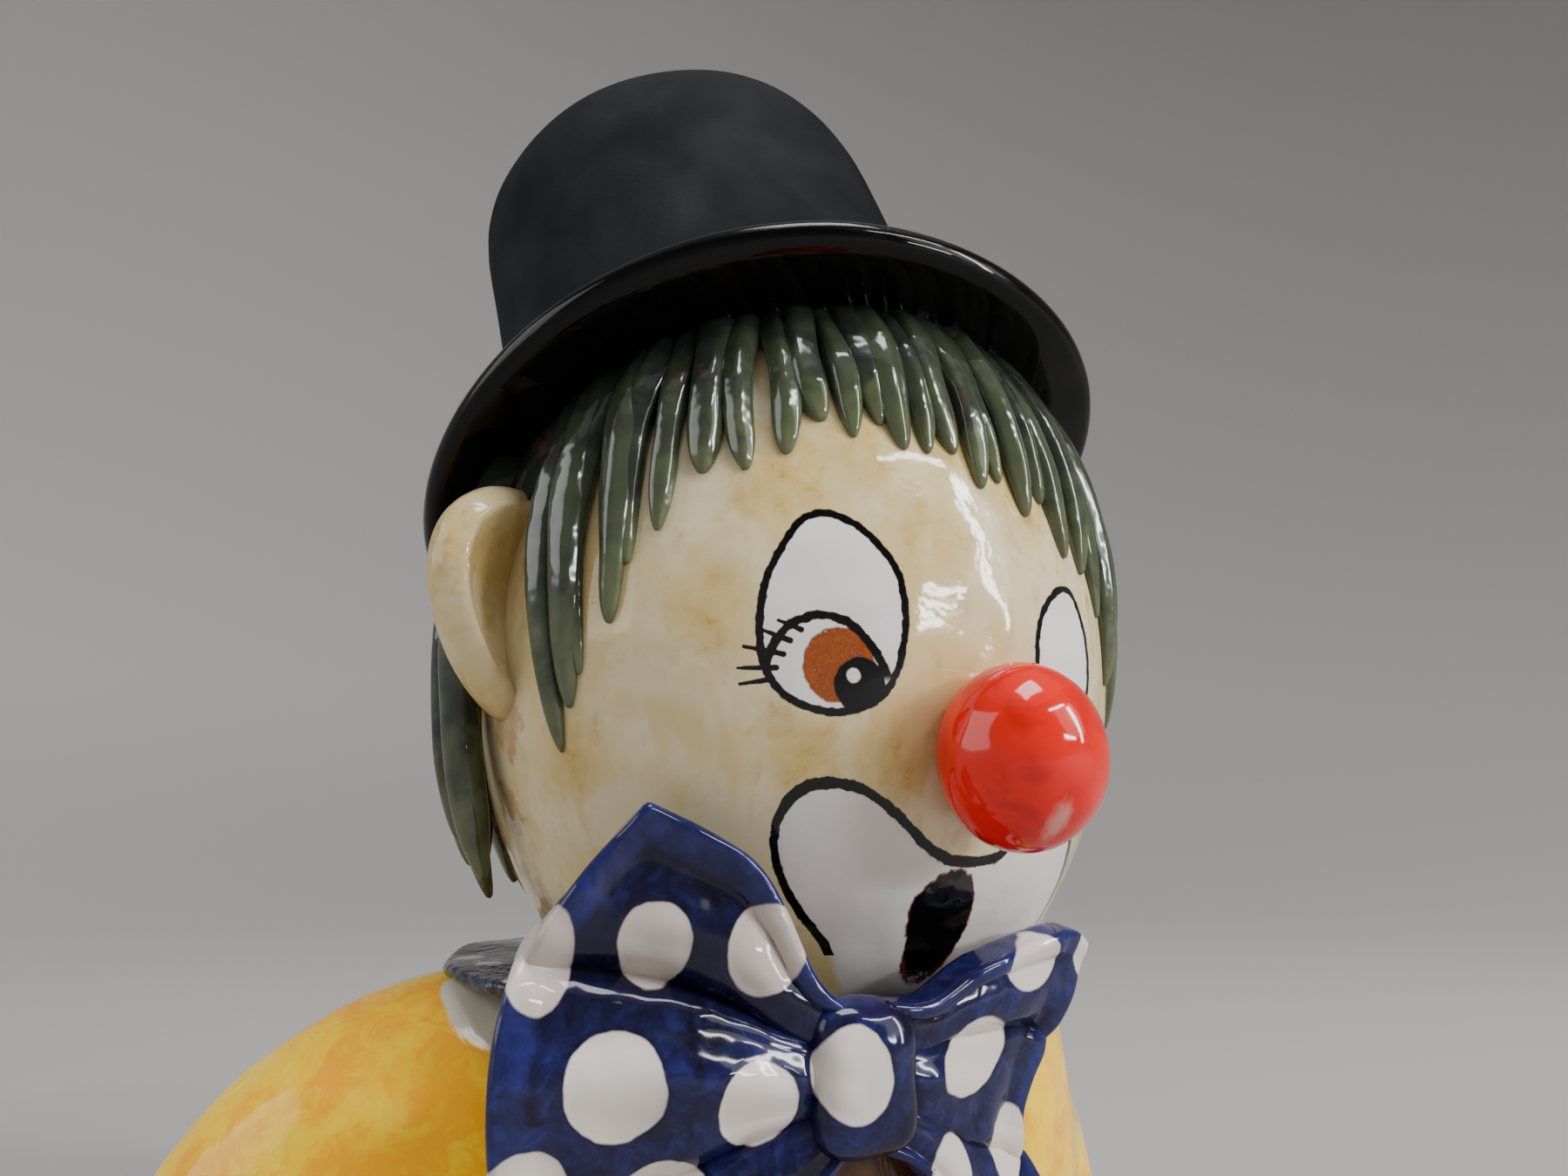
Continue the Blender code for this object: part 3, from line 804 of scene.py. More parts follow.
@dataclass
class Hair:
    """The rolled strands under the brim."""

    thick: float = 0.0036
    back_thick: float = 0.0056
    back_hang: float = 0.0040
    back_drop: float = 0.0200
    back_middle_drop: float = 0.0060
    back_vary: float = 0.0025
    back_count: int = 24
    back_start: float = 92.5
    back_span: float = 175.0
    root_share: float = 1.18
    tip_share: float = 0.74
    point_from: float = 0.72
    groove: float = 0.08
    rings: Tuple[float, ...] = (0.0, 0.1, 0.2, 0.3, 0.4, 0.5, 0.6, 0.68, 0.76, 0.83, 0.89, 0.94,
                                0.975, 0.995)
    sides: int = 16
    fringe: Tuple[Tuple[float, float, float], ...] = (
        (-73.5, -68.4, -12.0), (-69, -66, -8.0), (-65, -63.8, -5.0), (-61, -58.5, -0.5),
        (-56.5, -56, 5.0), (-52, -51.4, 8.0), (-46.5, -45, 13.5), (-41, -37.9, 13.7),
        (-35.5, -31.7, 15.3), (-30, -25.5, 19.0), (-25, -20.2, 17.4), (-19.5, -15, 19.0),
        (-14.5, -11.3, 16.5), (-9.5, -7.0, 16.4), (-4.0, -1.5, 16.8), (0.5, 2.9, 13.5),
        (6.0, 7.5, 14.5), (11, 12.9, 11.5), (16, 18.5, 13.5), (21, 23, 8.1), (26, 29, 7.0),
        (31, 35.5, 3.0), (36.5, 40, -4.0), (43, 46, -3.0), (49.5, 53, -8.0), (56, 60, -5.5),
        (63, 66.5, -12.0), (70, 73, -9.5), (77, 78, -14.5))
    head: Head = field(default_factory=Head)
    hat: Hat = field(default_factory=Hat)

    def hairline(self, azimuth: float) -> float:
        """The height on the head at which the brim's underside crosses an azimuth."""
        to_hat = self.hat.frame().inverted()
        low, high = -self.head.radii.z * 0.9, self.head.radii.z * 0.98
        for _ in range(24):
            middle = (low + high) / 2
            above = (to_hat @ self.head.point(azimuth, middle)).z > -self.hat.brim_thick / 2
            low, high = (low, middle) if above else (middle, high)
        return (low + high) / 2

    def master(self) -> bpy.types.Object:
        """Model a strand once, straight and of radius 1, with its length from 0 to 1."""
        rings = [(1.0, share) for share in self.rings]
        item = Bench.turned("strand", rings, self.sides)
        along = item.data.attributes.new("along", "FLOAT", "POINT")
        for vertex in item.data.vertices:
            along.data[vertex.index].value = vertex.co.z
        item.data.attributes.new("tone", "FLOAT", "POINT")
        return item

    def lay(self, item: bpy.types.Object, strand: Strand, seed: float) -> None:
        """Lay a copy of the master down the head.

        Args:
            item: the copy.
            strand: where it goes.
            seed: shifts its unevenness.
        """
        start = self.hairline(strand.root) + 0.001
        bow = 1.5 * sin(seed * 1.9 + 1.0)

        def middle(share: float) -> Tuple[Vector, float]:
            """The middle of the strand and its azimuth."""
            turn = strand.root + (strand.tip - strand.root) * share + bow * sin(pi * share)
            height = start + (strand.height - start) * share
            lift = strand.thick * (0.15 + 0.20 * sin(pi * min(1.0, share * 1.15)))
            lift = lift * (1 - share ** 3) + strand.hang * share ** 2
            return self.head.point(turn, height, lift), turn

        def press(co: Vector) -> Vector:
            """Move a point of the straight master to its place on the head."""
            share = co.z
            centre, turn = middle(share)
            ahead = (middle(min(1.0, share + 0.02))[0] - middle(max(0.0, share - 0.02))[0])
            ahead.normalize()
            out = self.head.normal(turn, start + (strand.height - start) * share)
            side = ahead.cross(out).normalized()
            out = side.cross(ahead).normalized()
            size = self.root_share - (self.root_share - self.tip_share) * share
            point = max(0.0, share - self.point_from) / (1.0 - self.point_from)
            size *= sqrt(max(0.0, 1.0 - point ** 2.0)) * strand.thick / 2
            size *= 1.0 + 0.08 * sin(seed * 5 + share * 6)
            size *= 1.0 + self.groove * cos(5 * atan2(co.y, co.x) + seed + 1.5 * share)
            offset = side * co.x * size + out * co.y * size * 0.84
            return centre + offset * (1.0 + wobble(centre, 0.006, 0.20, seed))

        Bench.shape(item, press)
        for value in item.data.attributes["tone"].data:
            value.value = strand.tone

    def group(self, name: str, strands: Sequence[Strand]) -> bpy.types.Object:
        """Copy the master for each strand, lay the copies and join them."""
        master = self.master()
        items = []
        for index, strand in enumerate(strands):
            item = master.copy()
            item.data = master.data.copy()
            bpy.context.scene.collection.objects.link(item)
            self.lay(item, strand, index * 1.37 + len(name))
            items.append(item)
        bpy.data.objects.remove(master, do_unlink=True)
        joined = Bench.join(name, items)
        Bench.refine(joined, 1)
        Bench.smooth(joined, 80.0)
        return joined

    def build(self) -> List[bpy.types.Object]:
        """Lay the fringe, then the longer strands behind the ears and round the back."""
        fringe = [Strand(root, tip, height * MM, self.thick * (1.0 + 0.12 * sin(index * 2.3)), 0.0,
                         0.5 + 0.5 * sin(index * 2.7))
                  for index, (root, tip, height) in enumerate(self.fringe)]
        back = []
        last = self.back_count - 1
        for index in range(self.back_count):
            turn = self.back_start + index * self.back_span / last
            drop = -self.back_drop + self.back_vary * sin(index * 2.1)
            drop -= self.back_middle_drop * sin(pi * index / last)
            back.append(Strand(turn, turn + 1.5 * sin(index * 1.7), drop, self.back_thick,
                               self.back_hang, 0.5 + 0.5 * sin(index * 1.9)))
        made = [self.group("fringe", fringe), self.group("back_hair", back)]
        for item in made:
            Bench.hand_over(item, HairGlaze().dress(), Slot.HAIR)
        return made


@dataclass
class Bow:
    """The bow tie: two folded wings and a knot."""

    body_turn: float = 12.0
    azimuth: float = 21.0
    reach: float = 0.0330
    drop: float = 0.0390
    sheet: float = 0.0030
    knot_wide: float = 0.0100
    knot_tall: float = 0.0125
    knot_thick: float = 0.0075
    near_top: Tuple[Pair, ...] = ((2.0, 5.5), (4.6, 8.2), (8.7, 16.2), (13.4, 19.6), (18.3, 21.9))
    near_side: Tuple[Pair, ...] = ((18.3, 21.9), (24.6, 14.6), (28.5, 8.4), (29.8, 0.0),
                                   (28.4, -9.6), (24.0, -16.6), (17.5, -21.0))
    near_foot: Tuple[Pair, ...] = ((2.0, -5.5), (5.0, -8.4), (9.6, -15.4), (17.5, -21.0))
    near_sweep: float = 0.0015
    near_fold: float = 1.0
    far_top: Tuple[Pair, ...] = ((2.0, 5.5), (6.3, 5.6), (12.5, 8.5), (22.4, 10.6), (25.1, 9.6))
    far_side: Tuple[Pair, ...] = ((25.1, 9.6), (22.4, 3.9), (17.4, -3.8), (17.7, -9.4),
                                  (20.4, -14.6), (19.4, -18.4))
    far_foot: Tuple[Pair, ...] = ((2.0, -5.5), (5.6, -7.4), (11.4, -14.0), (19.4, -18.4))
    far_sweep: float = 0.0070
    far_fold: float = 0.55
    folds: Tuple[Pair, ...] = ((0.0, 1.0), (0.07, 0.2), (0.17, 0.9), (0.24, 0.3), (0.30, -2.8),
                               (0.36, 0.8), (0.49, 2.8), (0.62, 1.2), (0.69, -2.0), (0.75, 0.5),
                               (0.88, 1.4), (1.0, 0.2))
    fold_fade: float = 0.45
    head: Head = field(default_factory=Head)

    def frame(self) -> Matrix:
        """The bow's frame: the middle of the knot, -Y out of the chest."""
        around = Matrix.Rotation(radians(-self.azimuth), 3, "Z") @ Vector((0.0, -self.reach, 0.0))
        place = self.head.centre + around + Vector((0.0, 0.0, -self.drop))
        return Matrix.Translation(place) @ Matrix.Rotation(radians(-self.body_turn), 4, "Z")

    @staticmethod
    def place_on(edges: Tuple[Sequence[Pair], ...], along: float, down: float) -> Vector:
        """A place on a wing's sheet, spread evenly between its four edges.

        Args:
            edges: its top, outer side and foot.
            along: share from the knot to the outer side.
            down: share from the top to the foot.

        Returns:
            Millimetres out and up.
        """
        top, side, foot = edges
        inner = Vector(top[0]).lerp(Vector(foot[0]), down)
        middle = along_line(top, along).lerp(along_line(foot, along), down)
        ends = Vector(top[0]).lerp(Vector(top[-1]), along)
        ends = ends.lerp(Vector(foot[0]).lerp(Vector(foot[-1]), along), down)
        return middle + inner.lerp(along_line(side, down), along) - ends

    def wing(self, name: str, side: float, edges: Tuple[Sequence[Pair], ...], sweep: float,
             depth: float) -> bpy.types.Object:
        """Fold one wing out of a sheet of clay.

        Args:
            name: the piece's name.
            side: 1 to the figure's left, -1 to its right.
            edges: the wing's top, outer side and foot.
            sweep: how far its outer edge swings back.
            depth: the share of the full folds.

        Returns:
            The wing, in place.
        """
        item = Bench.sheet(name, 34, 66)
        valley_shade = item.data.attributes.new("valley_shade", "FLOAT", "POINT")
        hem = item.data.attributes.new("hem", "FLOAT", "POINT")
        for vertex in item.data.vertices:
            along, down = vertex.co.x + 0.5, 0.5 - vertex.co.y
            out, up = self.place_on(edges, along, down) * MM
            ramp = sin(pi / 2 * min(1.0, 2 * along)) * (1.0 - self.fold_fade * along ** 3)
            fold = between(self.folds, down) * ramp * depth
            rim = max(0.0, 1.0 - min(down, 1.0 - down) / 0.075, 1.0 - (1.0 - along) / 0.10)
            # How much painted shade each point gets where the fold lies back, in the valleys.
            valley_shade.data[vertex.index].value = max(0.0, min(1.0, (1.0 - fold / depth) / 3.6))
            hem.data[vertex.index].value = rim
            y = sweep * along ** 1.5 - fold * MM
            vertex.co = (side * out, y, up)
        Bench.outward(item)
        Bench.modify(item, "SOLIDIFY", thickness=self.sheet * 0.80, offset=0.0)
        Bench.modify(item, "BEVEL", width=self.sheet * 0.30, segments=2, limit_method="ANGLE",
                     angle_limit=radians(60.0))
        Bench.refine(item, 1)
        swell = item.data.attributes["hem"].data
        lifts = [vertex.normal * 0.0006 * sin(pi / 2 * swell[vertex.index].value)
                 for vertex in item.data.vertices]
        for vertex, lift in zip(item.data.vertices, lifts):
            vertex.co += lift
        Bench.shape(item, lambda co: co + Vector((0.0, wobble(co, 0.006, 0.0005, 4.0), 0.0)))
        Bench.place(item, self.frame())
        Bench.outward(item)
        Bench.smooth(item, 80.0)
        return item

    def knot(self) -> bpy.types.Object:
        """The knot: a rounded pad pinched over the roots of both wings."""
        item = Bench.ball("bow_knot", 48, 32)
        size = Vector((self.knot_wide, self.knot_thick, self.knot_tall)) * 0.51

        def square(value: float, share: float) -> float:
            """Fill out a ball towards a pad with rounded corners."""
            return (1 if value > 0 else -1) * abs(value) ** share

        def press(co: Vector) -> Vector:
            """Size the pad, pinch its middle and leave it uneven."""
            pinch = 1.0 - 0.07 * cos(pi * co.z)
            shaped = Vector((square(co.x, 0.62) * size.x * pinch, square(co.y, 0.8) * size.y,
                             square(co.z, 0.62) * size.z))
            return shaped * (1.0 + wobble(shaped, 0.005, 0.06, 1.0))

        Bench.shape(item, press)
        Bench.refine(item, 1)
        Bench.place(item, self.frame())
        Bench.outward(item)
        Bench.smooth(item, 80.0)
        return item

    def build(self) -> List[bpy.types.Object]:
        """Fold both wings, gather them in the knot and paint them."""
        glaze = BowGlaze()
        near_edges = (self.near_top, self.near_side, self.near_foot)
        far_edges = (self.far_top, self.far_side, self.far_foot)
        near = self.wing("near_wing", -1.0, near_edges, self.near_sweep, self.near_fold)
        far = self.wing("far_wing", 1.0, far_edges, self.far_sweep, self.far_fold)
        knot = self.knot()
        for item in (near, far, knot):
            Bench.hand_over(item, glaze.dress(item.name, self), Slot.BOW)
        return [near, far, knot]


@dataclass
class Body:
    """The collar, the coat with its two sleeves and the shirt inside it."""

    turn: float = 12.0
    half_wide: float = 0.0305
    half_deep: float = 0.0275
    shoulder_drop: float = 0.0310
    shirt_inset: float = 0.0024
    opening_top: float = 0.0300
    opening_foot: float = 0.0160
    near_radius: float = 0.0370
    near_half_deep: float = 0.0205
    near_out: float = 0.0315
    near_drop: float = 0.0690
    far_radius: float = 0.0145
    far_out: float = 0.0210
    far_top_drop: float = 0.0560
    collar_radius: float = 0.0350
    collar_deep: float = 0.0285
    collar_thick: float = 0.0014
    collar_drop: float = 0.0324
    collar_rise: float = 0.0028
    collar_aside: float = 0.0030
    collar_front_drop: float = 0.0045
    below: float = 0.004
    head: Head = field(default_factory=Head)

    def frame(self) -> Matrix:
        """The shoulders' frame, at the head's centre."""
        return Matrix.Translation(self.head.centre) @ Matrix.Rotation(radians(-self.turn), 4, "Z")

    def torso(self, name: str, inset: float, segments: int) -> bpy.types.Object:
        """A round-shouldered body, set in by a margin."""
        top = -self.shoulder_drop - inset
        width = self.half_wide - inset
        foot = -self.head.centre_height - self.below
        rings = [(0.001, top), (width * 0.4, top)]
        rings += [(width * (0.80 + 0.20 * sin(turn)), top - 0.012 * (1 - cos(turn)))
                  for turn in (0.0, 0.35, 0.7, 1.1, pi / 2)]
        low = top - 0.012
        rings += [(width * (1.0 + 0.04 * step / 8), low + (foot - low) * step / 8)
                  for step in range(1, 9)]
        rings += [(0.001, foot)]
        item = Bench.turned(name, rings, segments)
        Bench.place(item, Matrix.Scale(self.half_deep / self.half_wide, 4, (0.0, 1.0, 0.0)))
        return item

    def coat(self) -> bpy.types.Object:
        """The coat, open down the front, with a puffed near sleeve and a hanging far one."""
        body = self.torso("coat", 0.0002, 64)
        near = Bench.ball("near_sleeve", 64, 40)
        radii = Vector((self.near_radius, self.near_half_deep, self.near_radius)) * 0.992
        Bench.stretch(near, radii)
        Bench.place(near, Matrix.Translation((-self.near_out, 0.0, -self.near_drop)))
        far = self.far_sleeve()
        item = Bench.join("coat", [body, near, far])
        Bench.modify(item, "REMESH", mode="VOXEL", voxel_size=0.0012, use_smooth_shade=True)
        self.open_front(item)
        Bench.modify(item, "SMOOTH", factor=0.5, iterations=8)
        self.creases(item)
        Bench.place(item, self.frame())
        Bench.cut(item, Vector((0.0, 0.0, 0.0)), Vector((0.0, 0.0, -1.0)))
        Bench.smooth(item, 60.0)
        return item

    def far_sleeve(self) -> bpy.types.Object:
        """The far sleeve, hanging close to the side."""
        foot = -self.head.centre_height - self.below
        top = -self.far_top_drop
        rings = [(0.001, top + 0.014), (0.0070, top + 0.0130), (0.0115, top + 0.0085)]
        rings += [(0.0138, top), (self.far_radius * 0.99, top - 0.007)]
        rings += [(self.far_radius * 0.99, foot), (0.001, foot)]
        item = Bench.turned("far_sleeve", rings, 40)
        Bench.place(item, Matrix.Translation((self.far_out, 0.0, 0.0)))
        return item

    def open_front(self, item: bpy.types.Object) -> None:
        """Cut the wedge out of the coat's front that shows the shirt."""
        cutter = Bench.block("opening", 0)
        tall = self.head.centre_height

        def press(co: Vector) -> Vector:
            """Make the block a wedge, wide at the collar."""
            width = self.opening_top if co.z > 0 else self.opening_foot
            deep = -self.half_deep * (1.5 if co.y < 0 else 0.3)
            return Vector((co.x * width, deep, -tall / 3 if co.z > 0 else -tall * 1.2))

        Bench.shape(cutter, press)
        Bench.outward(cutter)
        Bench.modify(item, "BOOLEAN", operation="DIFFERENCE", object=cutter, solver="MANIFOLD")
        bpy.data.objects.remove(cutter, do_unlink=True)
        Bench.modify(item, "REMESH", mode="VOXEL", voxel_size=0.0010, use_smooth_shade=True)

    def creases(self, item: bpy.types.Object) -> None:
        """Press shallow folds into the sleeves where they meet the body."""
        def press(co: Vector) -> Vector:
            """Push the clay in along slanting lines near the armpits."""
            near = max(0.0, 1.0 - abs(co.x + self.half_wide) / 0.014)
            lines = sin((co.z * 1.0 + co.x * 0.7) / 0.0030)
            depth = 0.00035 * near * lines + wobble(co, 0.011, 0.0007, 6.0)
            out = Vector((co.x * 0.2, co.y, 0.0)).normalized()
            return co - out * (abs(depth) + depth) * 0.5

        Bench.shape(item, press)

    def shirt(self) -> bpy.types.Object:
        """The shirt inside the coat, with its placket."""
        item = self.torso("shirt", self.shirt_inset, 96)

        def press(co: Vector) -> Vector:
            """Raise the placket down the middle of the front."""
            if co.y < 0.0:
                step = max(0.0, min(1.0, (0.0030 - abs(co.x)) / 0.0006))
                co = co + Vector((0.0, -0.0004 * step, 0.0))
            return co

        Bench.refine(item, 1)
        Bench.shape(item, press)
        Bench.place(item, self.frame())
        Bench.cut(item, Vector((0.0, 0.0, 0.0)), Vector((0.0, 0.0, -1.0)))
        Bench.smooth(item, 60.0)
        return item

    def collar(self) -> bpy.types.Object:
        """The ribbon round the neck: a thin sheet on the shoulders, lower in front."""
        half = self.collar_thick / 2
        radius = self.collar_radius
        rings = [(0.001, self.collar_rise * 0.96), (radius * 0.60, half * 1.5)]
        turns = [pi / 2 - step * pi / 8 for step in range(9)]
        rings += [(radius - half + half * cos(turn), half * sin(turn)) for turn in turns]
        rings += [(0.001, -half)]
        item = Bench.turned("collar", rings, 96)

        def press(co: Vector) -> Vector:
            """Give the ribbon's edge its shallow waves."""
            around = atan2(co.y, co.x)
            outward = max(0.0, hypot(co.x, co.y) / radius - 0.7) / 0.3
            co.z += 0.0004 * outward * sin(5 * around + 1.3) + 0.0002 * outward * sin(12 * around)
            co.z -= self.collar_front_drop * (max(0.0, -co.y) / radius) ** 2
            return co

        Bench.shape(item, press)
        Bench.refine(item, 1)
        Bench.place(item, Matrix.Scale(self.collar_deep / radius, 4, (0.0, 1.0, 0.0)))
        at = Matrix.Translation((-self.collar_aside, 0.0, -self.collar_drop))
        Bench.place(item, self.frame() @ at)
        Bench.smooth(item, 70.0)
        return item

    def build(self) -> List[bpy.types.Object]:
        """Model the shirt, the coat and the collar."""
        shirt, coat, collar = self.shirt(), self.coat(), self.collar()
        Bench.hand_over(shirt, ShirtGlaze().dress(), Slot.SHIRT)
        Bench.hand_over(coat, CoatGlaze().dress(self), Slot.COAT)
        Bench.hand_over(collar, CollarGlaze().dress(), Slot.COLLAR)
        return [shirt, coat, collar]


def closed_curve(points: Sequence[Pair], steps: int = 12) -> List[Pair]:
    """Run a smooth closed line through a few points.

    Args:
        points: the points in order.
        steps: places on each stretch.

    Returns:
        The places on the line.
    """
    count = len(points)
    line = []
    for index in range(count):
        four = [Vector(points[(index + shift) % count]) for shift in (-1, 0, 1, 2)]
        for step in range(steps):
            line.append(tuple(curve_between(four, step / steps)))
    return line


class Outline:
    """A closed painted shape, kept as its radius by angle round a centre."""

    STEPS = 72
    REACH = 40.0

    def __init__(self, points: Sequence[Pair], centre: Pair) -> None:
        """Work out the radii.

        Args:
            points: the outline, in millimetres across and up on the face.
            centre: a place inside it that sees all of it.
        """
        self.centre = centre
        polar = sorted((atan2(up - centre[1], across - centre[0]),
                        hypot(across - centre[0], up - centre[1]))
                       for across, up in closed_curve(points))
        wrapped = ([(angle - 2 * pi, reach) for angle, reach in polar[-3:]] + polar
                   + [(angle + 2 * pi, reach) for angle, reach in polar[:3]])
        self.radii = []
        for step in range(self.STEPS + 1):
            angle = -pi + 2 * pi * step / self.STEPS
            for (left, first), (right, second) in zip(wrapped, wrapped[1:]):
                if left <= angle <= right:
                    share = (angle - left) / max(1e-6, right - left)
                    self.radii.append(first + (second - first) * share)
                    break

    def slant(self) -> List[float]:
        """How much longer the way across the line is along a radius than square to it."""
        count = self.STEPS
        turn = 4 * pi / count
        slants = []
        for step in range(count + 1):
            change = self.radii[(step + 1) % count] - self.radii[(step - 1) % count]
            slants.append(sqrt(1.0 + (change / turn / self.radii[step]) ** 2))
        return slants

    def distance(self, paint: Paint, across: Field, up: Field) -> Tuple[Field, Field]:
        """How far a place lies outside the line.

        Args:
            paint: the material.
            across: millimetres across the face.
            up: millimetres up the face.

        Returns:
            The distance in millimetres, below zero inside, and the angle as a share of a turn.
        """
        right = across - self.centre[0]
        rise = up - self.centre[1]
        share = rise.turn(right) / (2 * pi) + 0.5
        reach = (right * right + rise * rise).root()
        stops = [(step / self.STEPS, radius / self.REACH) for step, radius in enumerate(self.radii)]
        slants = [(step / self.STEPS, slant / 8.0) for step, slant in enumerate(self.slant())]
        radius = paint.curve(share, stops) * self.REACH
        return (reach - radius) / (paint.curve(share, slants) * 8.0), share


def on_face(points: Sequence[Pair]) -> List[Pair]:
    """Turn azimuths in degrees and heights in millimetres to millimetres on the face."""
    return [(azimuth * FACE_MM_PER_DEGREE, height) for azimuth, height in points]


NEAR_EYE = on_face(((-25.9, 9.5), (-29.3, 8.7), (-32.1, 6.3), (-34.4, 3.3), (-35.3, 0.3),
                    (-35.3, -2.8), (-34.1, -5.5), (-31.2, -7.4), (-27.4, -8.4), (-24.2, -8.6),
                    (-20.3, -8.2), (-17.0, -7.0), (-15.0, -4.9), (-13.9, -2.1), (-13.6, 0.6),
                    (-14.7, 4.2), (-18.0, 7.0), (-21.9, 8.8)))
NEAR_LID = on_face(((-34.6, -6.0), (-33.7, -3.2), (-31.2, -1.1), (-26.8, -0.1), (-22.3, -0.8),
                    (-19.1, -2.7), (-16.6, -5.3), (-16.1, -7.5), (-20.0, -11.0), (-26.0, -12.5),
                    (-32.0, -10.5)))
LASHES = tuple(on_face(pair) for pair in (
    ((-32.7, -0.6), (-29.4, -1.4)), ((-35.6, -1.3), (-31.0, -2.4)), ((-37.7, -2.9), (-32.0, -3.6)),
    ((-38.6, -4.8), (-33.0, -4.8)), ((-38.3, -6.2), (-33.6, -5.8))))
MUZZLE = on_face(((-24.8, -28.8), (-29.9, -25.8), (-33.1, -22.3), (-33.8, -19.3), (-32.0, -16.7),
                  (-28.7, -15.0), (-24.0, -14.7), (-19.9, -15.2), (-16.2, -16.4), (-12.1, -18.2),
                  (-8.4, -19.9), (-3.6, -21.3), (0.3, -21.7), (5.3, -21.6), (9.5, -21.0),
                  (14.0, -19.0), (20.0, -16.6), (26.0, -16.2), (32.0, -18.6), (36.5, -22.0),
                  (38.5, -25.5), (36.5, -29.5), (30.0, -33.5), (18.0, -37.5), (3.0, -39.0),
                  (-12.0, -37.0), (-20.0, -33.0)))
MOUTH = on_face(((0.1, -22.9), (3.6, -24.1), (5.2, -26.2), (5.1, -29.1), (2.8, -31.6),
                 (-2.1, -32.5), (-5.6, -31.3), (-6.7, -28.8), (-7.5, -26.0), (-4.9, -24.0)))


def far_side(points: Sequence[Pair], slip: float, drop: float, size: float) -> List[Pair]:
    """Mirror a near shape to the far side, slipped across, dropped and sized."""
    return [(-across * size + slip, up * size - drop) for across, up in points]


